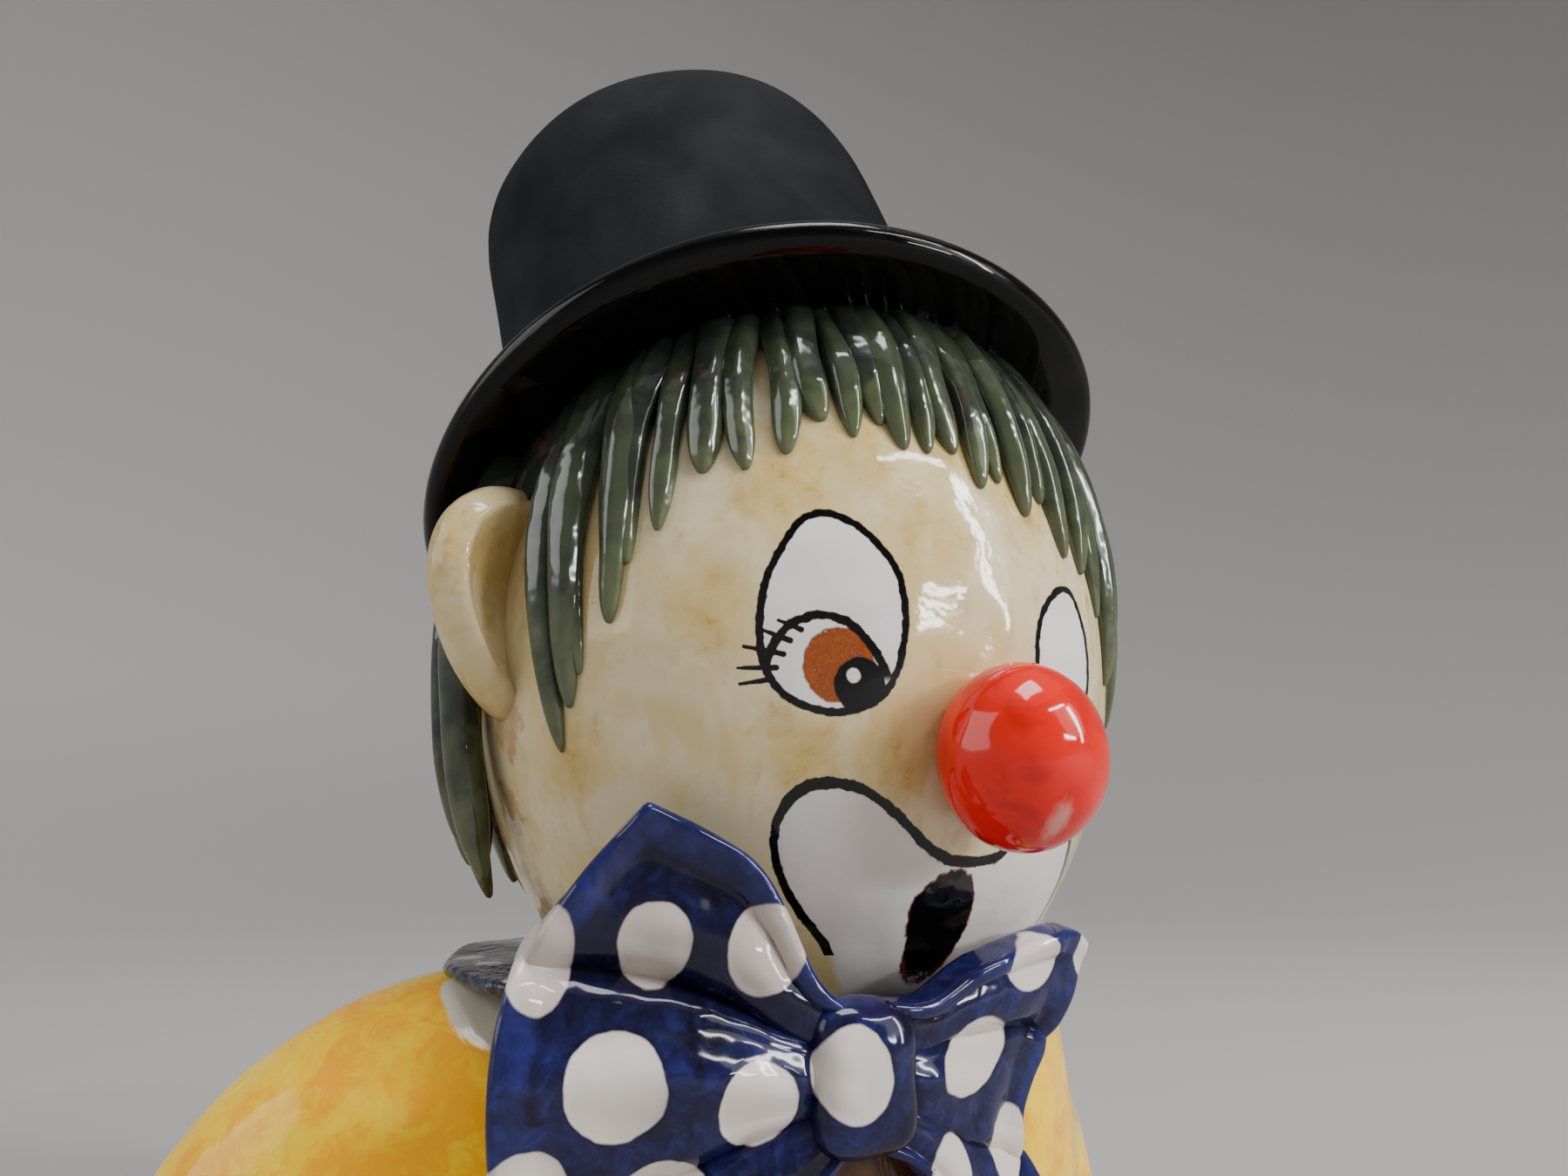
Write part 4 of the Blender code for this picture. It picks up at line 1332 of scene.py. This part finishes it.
@dataclass(frozen=True)
class Face:
    """The painted eyes, muzzle and mouth."""

    ink: Colour = (0.0025, 0.0025, 0.0028)
    white: Colour = (0.74, 0.71, 0.69)
    muzzle_white: Colour = (0.70, 0.66, 0.62)
    iris: Colour = (0.34, 0.085, 0.018)
    iris_dark: Colour = (0.15, 0.030, 0.007)
    green: Colour = (0.075, 0.085, 0.040)
    line: float = 0.38
    muzzle_line: float = 0.50
    far_slip: float = 0.9
    far_drop: float = 2.5
    far_size: float = 0.78

    def stroke(self, paint: Paint, gap: Field, half: Union[Field, float], press: Field) -> Field:
        """A brushed line.

        Args:
            paint: the material; not used.
            gap: distance from the line's middle.
            half: half its width.
            press: noise that breaks its edges.

        Returns:
            The line's cover, 0 to 1.
        """
        return (abs(gap) - half + (press - 0.5) * 0.5).fade(0.07, -0.07)

    def eye(self, paint: Paint, base: Link, across: Field, up: Field, edge: Field, streak: Field,
            far: bool) -> Link:
        """Paint one eye.

        Args:
            paint: the material.
            base: the colour below.
            across: millimetres across the face.
            up: millimetres up the face.
            edge: noise for the edges of strokes.
            streak: noise for the iris.
            far: whether it is the far eye.

        Returns:
            The colour with the eye on it.
        """
        size = self.far_size if far else 1.0
        setup = (self.far_slip, self.far_drop, size)
        outer = far_side(NEAR_EYE, *setup) if far else NEAR_EYE
        low = (self.far_slip, self.far_drop + 2.8, size)
        lid = far_side(NEAR_LID, *low) if far else NEAR_LID
        middle = (-15.4, 0.2)
        lid_middle = (-15.6, -5.6)
        iris = (-15.0, -4.5)
        pupil = (-13.0, -6.2)
        glint = (-13.6, -5.4)
        if far:
            middle = far_side((middle,), *setup)[0]
            lid_middle, iris = far_side((lid_middle, iris), *low)
            pupil, glint = (iris[0] + 1.5, iris[1] - 1.1), (iris[0] + 1.0, iris[1] - 0.5)
        gap, _ = Outline(outer, middle).distance(paint, across, up)
        inside = gap.fade(0.05, -0.15)
        colour = paint.mix(inside, base, self.white)
        ball_right, ball_up = across - iris[0], up - iris[1]
        ball = (ball_right * ball_right + ball_up * ball_up).root()
        brown = paint.mix((streak * 1.6 - 0.35).fade(0.1, 0.9), self.iris, self.iris_dark)
        brown = paint.mix((streak - 0.62).fade(0.0, 0.12) * 0.6, brown, self.white)
        colour = paint.mix((ball + (edge - 0.5) * 0.5).fade(3.5 * size, 3.25 * size) * inside,
                           colour, brown)
        black_right, black_up = across - pupil[0], up - pupil[1]
        black = (black_right * black_right + black_up * black_up).root() + (edge - 0.5) * 0.4
        colour = paint.mix(black.fade(2.55 * size, 2.35 * size) * inside, colour, self.ink)
        shine_right, shine_up = across - glint[0], up - glint[1]
        shine = (shine_right * shine_right + shine_up * shine_up).root() + (edge - 0.5) * 0.3
        colour = paint.mix(shine.fade(0.75, 0.55), colour, self.white)
        arc, share = Outline(lid, lid_middle).distance(paint, across, up)
        window = abs(share - (0.745 if not far else 0.755)).fade(0.27, 0.235)
        line = self.stroke(paint, arc, window * 0.42, edge) * window * inside
        line = line.most(self.stroke(paint, gap, self.line, edge))
        return paint.mix(line, colour, self.ink)

    @staticmethod
    def flicks(across: Field, up: Field, edge: Field) -> Field:
        """Two small touches of the hair's green that the brush left under the fringe."""
        cover = None
        for right, high, half in ((-27.4, 15.2, 0.75), (-24.1, 14.2, 0.45)):
            aside, above = (across - right) / 0.32, (up - high) / half
            touch = (aside * aside + above * above).root() + (edge - 0.5) * 0.9
            touch = touch.fade(1.15, 0.75)
            cover = touch if cover is None else cover.most(touch)
        return cover

    def lashes(self, paint: Paint, across: Field, up: Field, edge: Field) -> Field:
        """The five lashes at the outer corner of the near eye."""
        place = paint.join(across, up, 0.0)
        cover = None
        for tip, root in LASHES:
            way = Vector((root[0] - tip[0], root[1] - tip[1], 0.0))
            offset = paint.node("ShaderNodeVectorMath", {"operation": "SUBTRACT"},
                                {0: place, 1: (*tip, 0.0)})
            share = paint.node("ShaderNodeVectorMath", {"operation": "DOT_PRODUCT"},
                               {0: offset, 1: way / way.length_squared}, out="Value")
            share = share.most(0.0).least(1.0)
            along = paint.node("ShaderNodeVectorMath", {"operation": "SCALE"},
                               {0: tuple(way), "Scale": share})
            gap = paint.node("ShaderNodeVectorMath", {"operation": "DISTANCE"},
                             {0: offset, 1: along}, out="Value")
            line = (gap - (share * 0.13 + 0.16) + (edge - 0.5) * 0.2).fade(0.06, -0.06)
            cover = line if cover is None else cover.most(line)
        return cover

    def dress(self, paint: Paint, base: Link, across: Field, up: Field) -> Link:
        """Paint the whole face over the skin.

        Args:
            paint: the material.
            base: the skin's colour.
            across: millimetres across the face.
            up: millimetres up the face.

        Returns:
            The painted colour.
        """
        flat = paint.join(across, up, 0.0)
        edge = paint.grain(flat, 1.1, 3.0)
        streak = paint.grain(flat, 1.9, 4.0, 1.5, 0.7)
        slow = paint.grain(flat, 0.16, 2.0)
        gap, share = Outline(MUZZLE, (0.0, -30.0)).distance(paint, across, up)
        soft = (gap + (slow - 0.5) * 3.0).fade(0.6, -0.6)
        crisp = gap.fade(0.1, -0.1)
        lined = abs(share - 0.752).fade(0.27, 0.25)
        cover = crisp * lined + soft * (1.0 - lined)
        colour = paint.mix(cover, base, self.muzzle_white)
        width = lined * self.muzzle_line * ((slow - 0.5) * 0.8 + 1.0)
        colour = paint.mix(self.stroke(paint, gap, width, edge) * lined, colour, self.ink)
        lips, lips_share = Outline(MOUTH, (-0.8, -27.6)).distance(paint, across, up)
        ragged = lips + (edge - 0.5) * 1.1 - 0.25
        colour = paint.mix(ragged.fade(0.62, 0.25), colour, (0.10, 0.015, 0.010))
        lower = abs(lips_share - 0.25).fade(0.16, 0.10) * 0.45
        colour = paint.mix((ragged + lower).fade(0.35, 0.05), colour, self.ink)
        colour = self.eye(paint, colour, across, up, edge, streak, True)
        colour = self.eye(paint, colour, across, up, edge, streak, False)
        colour = paint.mix(self.flicks(across, up, edge) * 0.85, colour, self.green)
        return paint.mix(self.lashes(paint, across, up, edge), colour, self.ink)


@dataclass(frozen=True)
class SkinGlaze:
    """Cream glaze washed with ochre in upright brush strokes, speckled brown, with painted shade
    round the near ear's root.
    """

    cream: Colour = (0.66, 0.51, 0.25)
    pale: Colour = (0.70, 0.61, 0.40)
    ochre: Colour = (0.53, 0.36, 0.10)
    brown: Colour = (0.32, 0.15, 0.045)
    washed: Tuple[Tuple[float, float, float], ...] = (
        (-20.0, 12.5, 8.0), (-12.5, 16.0, 6.0), (-4.5, 8.0, 8.0), (-2.0, 18.0, 6.0),
        (-9.5, -12.0, 6.5), (-18.0, -12.0, 6.0), (-27.0, 1.0, 5.5), (-39.0, 4.0, 6.0),
        (-42.0, -12.0, 6.0), (-41.0, -27.0, 8.0), (-3.0, -6.0, 5.0), (8.0, 14.0, 8.0))
    # Places of painted shade round the near ear's root: across, up and radius.
    near_ear_shade: Tuple[Tuple[float, float, float], ...] = (
        (-52.0, -9.0, 5.0), (-55.0, -17.0, 5.0), (-57.0, -25.0, 5.0), (-47.0, 7.0, 4.0))
    bare: Tuple[Tuple[float, float, float], ...] = (
        (-30.0, -10.0, 7.0), (-32.0, 14.0, 7.0), (-26.0, -19.0, 6.0), (-35.0, -19.0, 6.0))

    def patches(self, across: Field, up: Field,
                places: Sequence[Tuple[float, float, float]]) -> Field:
        """Soft round patches on the head.

        Args:
            across: millimetres round the head.
            up: millimetres up the head.
            places: where each lies across and up, and its radius.

        Returns:
            The strongest cover, 0 to 1.
        """
        cover = None
        for right, high, radius in places:
            aside, above = across - right, up - high
            disc = (aside * aside + above * above).root().fade(radius, radius * 0.15)
            cover = disc if cover is None else cover.most(disc)
        return cover

    def wash(self, paint: Paint, place: Link, across: Field, up: Field) -> Link:
        """The skin's colour before the face is painted.

        Args:
            paint: the material.
            place: where on the piece, in millimetres.
            across: millimetres round the head.
            up: millimetres up the head.

        Returns:
            The colour.
        """
        brush = paint.join(across * 0.42, up * 0.17, 0.0)
        clouds = paint.grain(place, 0.075, 3.0, 0.6)
        strokes = paint.grain(brush, 1.0, 2.0, 0.5, 0.45)
        specks = paint.grain(place, 0.55, 4.0, 0.3, 0.62)
        warm = self.patches(across, up, self.washed)
        bare = self.patches(across, up, self.bare)
        light = clouds * 0.7 + strokes * 0.3 - warm * 0.12 + bare * 0.10
        colour = paint.mix(light.fade(0.40, 0.58), self.cream, self.pale)
        wash = strokes * 0.40 + clouds * 0.30 + specks * 0.30 + warm * 0.13 - bare * 0.09
        colour = paint.mix(wash.fade(0.46, 0.74) * 0.85, colour, self.ochre)
        # Brown specks all over, with painted shade added round the near ear's root.
        specks_and_ear_shade = wash * 0.45 + specks * 0.55 + self.patches(across, up, self.near_ear_shade) * 0.30
        return paint.mix(specks_and_ear_shade.fade(0.60, 0.74) * 0.45, colour, self.brown)

    def dress(self, head: Head) -> bpy.types.Material:
        """Glaze the head and paint its face."""
        paint = Paint("face_glaze")
        place = paint.place(Matrix.Translation(head.centre))
        x, y, up = paint.split(place)
        across = x.turn(-y) * FACE_RADIUS
        colour = self.wash(paint, place, across, up)
        colour = Face().dress(paint, colour, across, up)
        pool = paint.grain(place, 0.11, 1.0)
        ripple = paint.grain(place, 0.45, 2.0)
        normal = paint.relief(pool * 0.93 + ripple * 0.07, 0.9)
        return paint.finish(colour, ripple * 0.06 + 0.06, normal, 0.4)


@dataclass(frozen=True)
class EarGlaze:
    """The skin's glaze on an ear, with painted shade: browner in its hollow and at its root."""

    skin: SkinGlaze = SkinGlaze()

    def dress(self, head: Head) -> bpy.types.Material:
        """Glaze an ear."""
        paint = Paint("ear_glaze")
        place = paint.place(Matrix.Translation(head.centre))
        x, y, up = paint.split(place)
        colour = self.skin.wash(paint, place, y, up)
        hollow = paint.attribute("hollow")
        blotch = paint.grain(place, 0.35, 4.0, 0.5)
        # Painted shade: the hollow is washed darker ochre.
        colour = paint.mix((hollow + (blotch - 0.5) * 0.8).fade(0.15, 0.95) * 0.18, colour,
                           self.skin.ochre)
        # Painted shade: the root, where the ear meets the head, is browner.
        near_head = abs(x).fade(37.2, 35.2)
        colour = paint.mix((near_head + (blotch - 0.5) * 0.7).fade(0.3, 1.0) * 0.32, colour,
                           self.skin.brown)
        normal = paint.relief(paint.grain(place, 0.3, 2.0), 0.5)
        return paint.finish(colour, blotch * 0.08 + 0.07, normal, 0.4)


@dataclass(frozen=True)
class HatGlaze:
    """Black glaze, satin on the crown and glossy on the brim, with grey streaks on the crown
    painted heavier towards its -x side as a painted sheen.
    """

    black: Colour = (0.0014, 0.0013, 0.0014)
    # The grey of the crown's streaks, laid on heavier towards one side as a painted sheen.
    grey: Colour = (0.031, 0.0335, 0.037)

    def dress(self, hat: Hat) -> bpy.types.Material:
        """Glaze the hat."""
        paint = Paint("hat_glaze")
        place = paint.place(hat.frame())
        across, _, up = paint.split(place)
        crown = up.fade(1.0, 5.0)
        strokes = paint.grain(paint.place(Matrix.Diagonal((1.0, 1.0, 4.0, 1.0))), 0.12, 3.0, 0.5)
        clouds = paint.grain(place, 0.05, 2.0, 0.6)
        # Painted sheen: the crown's grey streaks grow towards the hat's -x side, standing in for
        # light falling there.
        painted_sheen = across.fade(22.0, -20.0) * 0.95 + 0.15
        share = crown * painted_sheen * (strokes * 0.7 + clouds * 0.6)
        colour = paint.mix(share, self.black, self.grey)
        fine = paint.grain(place, 1.6, 4.0, 0.0, 0.7)
        rough = crown * (clouds * 0.10 + 0.78) + fine * 0.05 + 0.07
        hollows = paint.grain(place, 0.06, 1.0)
        normal = paint.relief(hollows * 0.97 + fine * 0.03, 1.6)
        return paint.finish(colour, rough, normal, 0.03, (1.0 - crown) * 0.35)


@dataclass(frozen=True)
class HairGlaze:
    """Dark olive-green glaze, paler at the tips, with painted shade darkening the strands towards
    their roots under the brim, and brown between the strands.
    """

    dark: Colour = (0.017, 0.022, 0.019)
    # The colour of the painted shade at the strands' roots, under the brim.
    root: Colour = (0.006, 0.009, 0.007)
    green: Colour = (0.047, 0.062, 0.035)
    tip: Colour = (0.115, 0.135, 0.062)
    brown: Colour = (0.110, 0.058, 0.035)
    skin: Colour = (0.60, 0.45, 0.20)
    bed: bool = False

    def dress(self) -> bpy.types.Material:
        """Glaze the strands, or the bed of clay under them."""
        paint = Paint("hair_bed_glaze" if self.bed else "hair_glaze")
        place = paint.place()
        streaks = paint.grain(place, 0.22, 3.0, 0.6)
        if self.bed:
            _, _, up = paint.split(place)
            neck = (up + (streaks - 0.5) * 9.0).fade(54.0, 49.0)
            colour = paint.mix(streaks.fade(0.36, 0.54), self.brown, self.dark)
            colour = paint.mix(neck, colour, self.skin)
        else:
            along, tone = paint.attribute("along"), paint.attribute("tone")
            light = (streaks * 0.9 + tone * 0.25).fade(0.30, 0.75)
            colour = paint.mix(light, self.dark, self.green)
            colour = paint.mix((along + (streaks - 0.5) * 0.5).fade(0.62, 1.02) * 0.85, colour,
                               self.tip)
            # Painted shade: each strand darkens towards its root, in the shade of the brim.
            colour = paint.mix((along + (streaks - 0.5) * 0.3).fade(0.50, 0.05) * 0.85, colour,
                               self.root)
            colour = paint.mix((1.0 - streaks).fade(0.64, 0.74) * 0.4, colour, self.brown)
        normal = paint.relief(paint.grain(place, 0.35, 1.0), 0.25)
        return paint.finish(colour, streaks * 0.08 + 0.08, normal, 0.55)


@dataclass(frozen=True)
class NoseGlaze:
    """Bright red glaze, with a painted highlight low on the front of the ball and painted shade
    towards its root.
    """

    red: Colour = (0.74, 0.010, 0.004)
    deep: Colour = (0.50, 0.006, 0.004)
    # The pale pinkish colour of the painted highlight low on the ball.
    painted_sheen: Colour = (0.66, 0.30, 0.24)

    def dress(self, centre: Vector) -> bpy.types.Material:
        """Glaze the nose."""
        paint = Paint("nose_glaze")
        place = paint.place(Matrix.Translation(centre))
        x, y, up = paint.split(place)
        clouds = paint.grain(place, 0.22, 3.0, 0.5)
        fine = paint.grain(place, 1.8, 4.0)
        colour = paint.mix(clouds.fade(0.42, 0.66) * 0.7, self.red, self.deep)
        # Painted shade: the red deepens towards the back of the ball, where it meets the face.
        colour = paint.mix((y * 0.25).fade(0.6, 1.6) * 0.6, colour, self.deep)
        # Painted highlight: a pale pinkish patch low on the front of the ball.
        right, rise = (x + 1.1) / 0.9, (up + 5.5) / 1.5
        mark = (right * right + rise * rise).root() + (fine - 0.5) * 0.9
        colour = paint.mix(mark.fade(1.5, 0.3) * y.fade(0.0, -2.0) * 0.85, colour, self.painted_sheen)
        normal = paint.relief(paint.grain(place, 0.20, 1.0), 0.35)
        return paint.finish(colour, clouds * 0.05 + 0.06, normal, 0.4)


@dataclass(frozen=True)
class Spot:
    """A round spot left white on the bow, in millimetres from the knot's middle."""

    across: float
    up: float
    wide: float
    tall: float
    tilt: float = 0.0


@dataclass(frozen=True)
class BowGlaze:
    """Brushed cobalt-blue glaze round white spots, with painted shade in the folds' valleys and in
    the near wing's recess under its peak.
    """

    navy: Colour = (0.0042, 0.0040, 0.011)
    blue: Colour = (0.0090, 0.0087, 0.037)
    bright: Colour = (0.020, 0.024, 0.138)
    white: Colour = (0.66, 0.60, 0.55)
    # The grey of the white spots where they lie in painted shade.
    shaded: Colour = (0.42, 0.35, 0.32)
    spots: Tuple[Spot, ...] = (
        Spot(-17.8, 11.2, 3.0, 3.5), Spot(-8.6, 10.6, 3.3, 3.8, -25.0), Spot(-27.0, 10.6, 2.9, 4.4),
        Spot(-21.0, 0.8, 3.9, 4.3, 20.0), Spot(-9.5, -1.2, 3.4, 3.4), Spot(-1.6, 0.8, 3.2, 3.7),
        Spot(18.4, 8.2, 3.2, 2.5, 15.0), Spot(11.5, 0.9, 4.3, 2.7, 30.0), Spot(26.6, 8.5, 2.6, 2.8),
        Spot(16.0, -7.4, 2.2, 3.4), Spot(8.2, -8.2, 2.2, 3.0), Spot(-27.5, -6.6, 3.4, 3.0),
        Spot(-16.6, -8.2, 3.6, 3.2), Spot(-8.0, -11.5, 3.0, 2.6), Spot(-22.0, -14.5, 3.2, 3.0),
        Spot(19.0, -15.0, 3.0, 2.8), Spot(10.5, -15.6, 2.6, 2.6))

    def dress(self, name: str, bow: Bow) -> bpy.types.Material:
        """Paint one piece of the bow.

        Args:
            name: the piece's name.
            bow: the bow's sizes and frame.

        Returns:
            The material.
        """
        paint = Paint(f"{name}_glaze")
        place = paint.place(bow.frame())
        across, _, up = paint.split(place)
        edge = paint.grain(place, 0.25, 3.0)
        gap = None
        for spot in self.spots:
            right, rise = across - spot.across, up - spot.up
            if spot.tilt:
                turn = radians(spot.tilt)
                right, rise = (right * cos(turn) + rise * sin(turn),
                               rise * cos(turn) - right * sin(turn))
            long, short = right / spot.wide, rise / spot.tall
            reach = ((long * long + short * short).root() - 1.0) * min(spot.wide, spot.tall)
            gap = reach if gap is None else gap.least(reach)
        gap = gap + (edge - 0.5) * 0.9
        brush = paint.grain(place, 0.30, 4.0, 1.6, 0.62)
        fine = paint.grain(place, 0.9, 4.0, 1.0, 0.65)
        cover = brush * 0.75 + fine * 0.25
        colour = paint.mix(cover.fade(0.38, 0.56), self.navy, self.blue)
        colour = paint.mix(cover.fade(0.50, 0.66) * 0.7, colour, self.bright)
        ring = abs(gap - 1.1).fade(1.5, 0.3) * (fine * 0.8 + 0.2)
        colour = paint.mix(ring * 0.40, colour, self.bright)
        # Painted shade: the near wing's recess under its peak is darkened to navy, and its white
        # spots to a shaded grey.
        shade = up.fade(3.0, 6.5) * across.fade(-2.0, -6.0) * across.fade(-30.0, -27.0)
        if name != "bow_knot":
            colour = paint.mix(shade * (0.85 - brush * 0.4), colour, self.navy)
            # Painted shade: the wings darken to navy where their folds lie back, in the valleys.
            valley_shade, hem = paint.attribute("valley_shade"), paint.attribute("hem")
            colour = paint.mix((valley_shade + (fine - 0.5) * 0.4).fade(0.10, 0.70) * 0.85, colour,
                               self.navy)
            colour = paint.mix(hem.fade(0.1, 0.5) * (brush * 1.1 - 0.05), colour, self.bright)
        white = paint.mix(shade * 0.8, self.white, self.shaded)
        colour = paint.mix(gap.fade(0.12, -0.12), colour, white)
        pool = paint.grain(place, 0.20, 1.0)
        normal = paint.relief(gap.fade(-0.6, 0.6) * 0.15 + pool * 0.85, 0.7)
        return paint.finish(colour, brush * 0.08 + 0.05, normal, 0.35)


@dataclass(frozen=True)
class CoatGlaze:
    """Yellow glaze clouded with orange, with bare white patches by the collar."""

    yellow: Colour = (0.97, 0.60, 0.006)
    orange: Colour = (0.93, 0.38, 0.002)
    pale: Colour = (0.97, 0.76, 0.10)
    white: Colour = (0.74, 0.69, 0.56)

    def dress(self, body: Body) -> bpy.types.Material:
        """Glaze the coat."""
        paint = Paint("coat_glaze")
        place = paint.place(body.frame())
        across, _, up = paint.split(place)
        clouds = paint.grain(place, 0.075, 4.0, 1.2, 0.6)
        strokes = paint.grain(place, 0.30, 4.0, 2.0, 0.6)
        mottle = clouds * 0.65 + strokes * 0.35
        colour = paint.mix(mottle.fade(0.46, 0.60) * 0.9, self.yellow, self.orange)
        colour = paint.mix((1.0 - mottle).fade(0.52, 0.66) * 0.6, colour, self.pale)
        top = up.fade(-44.0, -37.0) * (1.0 - abs(across).fade(36.0, 44.0))
        bare = (paint.grain(place, 0.13, 1.0, 0.3) - 0.5 + (top - 0.6) * 0.35).fade(0.13, 0.17)
        colour = paint.mix(bare, colour, self.white)
        pool = paint.grain(place, 0.09, 1.0)
        normal = paint.relief(pool * 0.97 + strokes * 0.03, 1.4)
        return paint.finish(colour, strokes * 0.06 + 0.06, normal, 0.28)


@dataclass(frozen=True)
class CollarGlaze:
    """Thin dark-blue glaze with pale spots."""

    blue: Colour = (0.006, 0.007, 0.020)
    grey: Colour = (0.040, 0.048, 0.080)
    pale: Colour = (0.60, 0.58, 0.55)

    def dress(self) -> bpy.types.Material:
        """Glaze the collar."""
        paint = Paint("collar_glaze")
        place = paint.place()
        brush = paint.grain(place, 0.35, 4.0, 1.2)
        cells = paint.node("ShaderNodeTexVoronoi", {"feature": "F1"},
                           {"Vector": place, "Scale": 0.115, "Randomness": 0.35}, out="Distance")
        colour = paint.mix(brush.fade(0.40, 0.65), self.blue, self.grey)
        colour = paint.mix((cells + (brush - 0.5) * 0.15).fade(0.30, 0.26), colour, self.pale)
        normal = paint.relief(brush, 0.4)
        return paint.finish(colour, brush * 0.10 + 0.08, normal, 0.4)


@dataclass(frozen=True)
class ShirtGlaze:
    """Brown glaze, mottled darker in brush strokes."""

    brown: Colour = (0.20, 0.085, 0.035)
    dark: Colour = (0.075, 0.030, 0.014)

    def dress(self) -> bpy.types.Material:
        """Glaze the shirt."""
        paint = Paint("shirt_glaze")
        place = paint.place()
        brush = paint.grain(place, 0.25, 4.0, 0.8)
        colour = paint.mix(brush.fade(0.38, 0.64), self.brown, self.dark)
        normal = paint.relief(brush, 0.4)
        return paint.finish(colour, brush * 0.10 + 0.08, normal, 0.4)


@dataclass
class Studio:
    """The floor that curves up into a backdrop, the lights and the camera."""

    floor_radius: float = 0.55
    wall_radius: float = 1.60
    wall_top: float = 2.30
    lens: float = 26.82
    eye: Tuple[float, float, float] = (-0.0694, -0.1179, 0.0566)
    pitch: float = 11.5
    azimuth: float = -30.0
    grey: Colour = (0.46, 0.45, 0.44)

    def backdrop(self) -> None:
        """A round bowl, so that the floor has no edge from any side, its paper painted lighter
        towards one side and darker near the floor as painted light and shade.
        """
        rings = [(0.05, 0.0), (self.floor_radius, 0.0)]
        reach = self.wall_radius - self.floor_radius
        rings += [(self.floor_radius + reach * sin(turn), reach * (1 - cos(turn)))
                  for turn in (0.15, 0.35, 0.6, 0.85, 1.1, 1.35, pi / 2)]
        rings += [(self.wall_radius, self.wall_top)]
        Bench.clear()
        item = Bench.turned("studio_bowl", rings, 96)
        Bench.pick(item)
        bpy.ops.object.mode_set(mode="EDIT")
        bpy.ops.mesh.select_all(action="DESELECT")
        bpy.ops.object.mode_set(mode="OBJECT")
        for face in item.data.polygons:
            face.select = face.center.z > self.wall_top - 0.01
        bpy.ops.object.mode_set(mode="EDIT")
        bpy.ops.mesh.select_mode(type="FACE")
        bpy.ops.mesh.delete(type="FACE")
        bpy.ops.object.mode_set(mode="OBJECT")
        Bench.refine(item, 2)
        Bench.smooth(item, 80.0)
        paint = Paint("studio_paper")
        place = paint.place()
        right, deep, up = paint.split(place)
        # Painted light and shade: the paper is lighter towards one side of the bowl and darker low
        # down near the floor.
        bright = (deep * 0.50 - right * 0.87).fade(-1100.0, 1100.0)
        tint = paint.mix(bright, tuple(value * 0.82 for value in self.grey),
                         tuple(value * 1.16 for value in self.grey))
        low = up.fade(220.0, 0.0)
        tint = paint.mix(low * 0.6, tint, tuple(value * 0.72 for value in self.grey))
        item.data.materials.append(paint.finish(tint, 0.9))

    def light(self, name: str, toward: Vector, away: float, size: Pair, power: float,
              tint: Colour = (1.0, 1.0, 1.0)) -> None:
        """Hang one soft light that faces the head.

        Args:
            name: its name.
            toward: the direction it hangs in, seen from the head.
            away: its distance.
            size: its width and height.
            power: watts.
            tint: its colour.
        """
        data = bpy.data.lights.new(name, "AREA")
        data.shape = "RECTANGLE"
        data.size, data.size_y = size
        data.energy = power
        data.color = tint
        item = bpy.data.objects.new(name, data)
        bpy.context.scene.collection.objects.link(item)
        direction = toward.normalized()
        item.location = Vector((0.0, 0.0, 0.085)) + direction * away
        item.rotation_euler = direction.to_track_quat("Z", "Y").to_euler()
        item.visible_camera = False

    @staticmethod
    def toward(azimuth: float, rise: float) -> Vector:
        """A direction by degrees round from the front and degrees above the horizon."""
        turn, lift = radians(azimuth), radians(rise)
        return Vector((sin(turn) * cos(lift), -cos(turn) * cos(lift), sin(lift)))

    def lights(self) -> None:
        """A window with its bars of light to the front, a lamp overhead and a fill at the side."""
        self.light("overhead", self.toward(10.0, 76.0), 1.1, (0.5, 0.35), 8.0)
        self.light("window", self.toward(36.0, 28.0), 1.1, (0.55, 0.55), 2.4, (1.0, 0.99, 0.97))
        self.light("window_upright", self.toward(42.0, 22.0), 0.9, (0.055, 0.50), 4.6)
        self.light("window_top", self.toward(26.0, 43.0), 0.9, (0.34, 0.045), 2.2)
        self.light("window_low", self.toward(24.0, 12.0), 0.9, (0.20, 0.05), 2.0)
        self.light("side", self.toward(-104.0, 24.0), 1.2, (0.8, 0.8), 6.0)
        world = bpy.data.worlds.new("room")
        world.use_nodes = True
        world.node_tree.nodes["Background"].inputs["Color"].default_value = (1.0, 0.99, 0.98, 1.0)
        world.node_tree.nodes["Background"].inputs["Strength"].default_value = 0.45
        bpy.context.scene.world = world

    def camera(self) -> None:
        """The photograph's viewpoint."""
        data = bpy.data.cameras.new("camera")
        data.lens = self.lens
        data.sensor_width = 36.0
        data.clip_start = 0.005
        data.clip_end = 20.0
        item = bpy.data.objects.new("camera", data)
        bpy.context.scene.collection.objects.link(item)
        item.location = self.eye
        item.rotation_euler = (pi / 2 + radians(self.pitch), 0.0, radians(self.azimuth))
        bpy.context.scene.camera = item

    def build(self) -> None:
        """Set up the studio."""
        self.backdrop()
        self.lights()
        self.camera()


def main() -> None:
    """Build every piece in order, then the studio."""
    logging.basicConfig(level=logging.INFO, format="%(relativeCreated)d %(name)s %(message)s")
    hat = Hat()
    head = Head()
    pieces = head.build(hat.frame())
    pieces += hat.build()
    pieces += Nose().build()
    pieces += Ears().build()
    pieces += Hair().build()
    pieces += Body().build()
    pieces += Bow().build()
    Studio().build()
    LOG.info("%d pieces, %d faces", len(pieces), sum(len(item.data.polygons) for item in pieces))


if __name__ == "__main__":
    main()
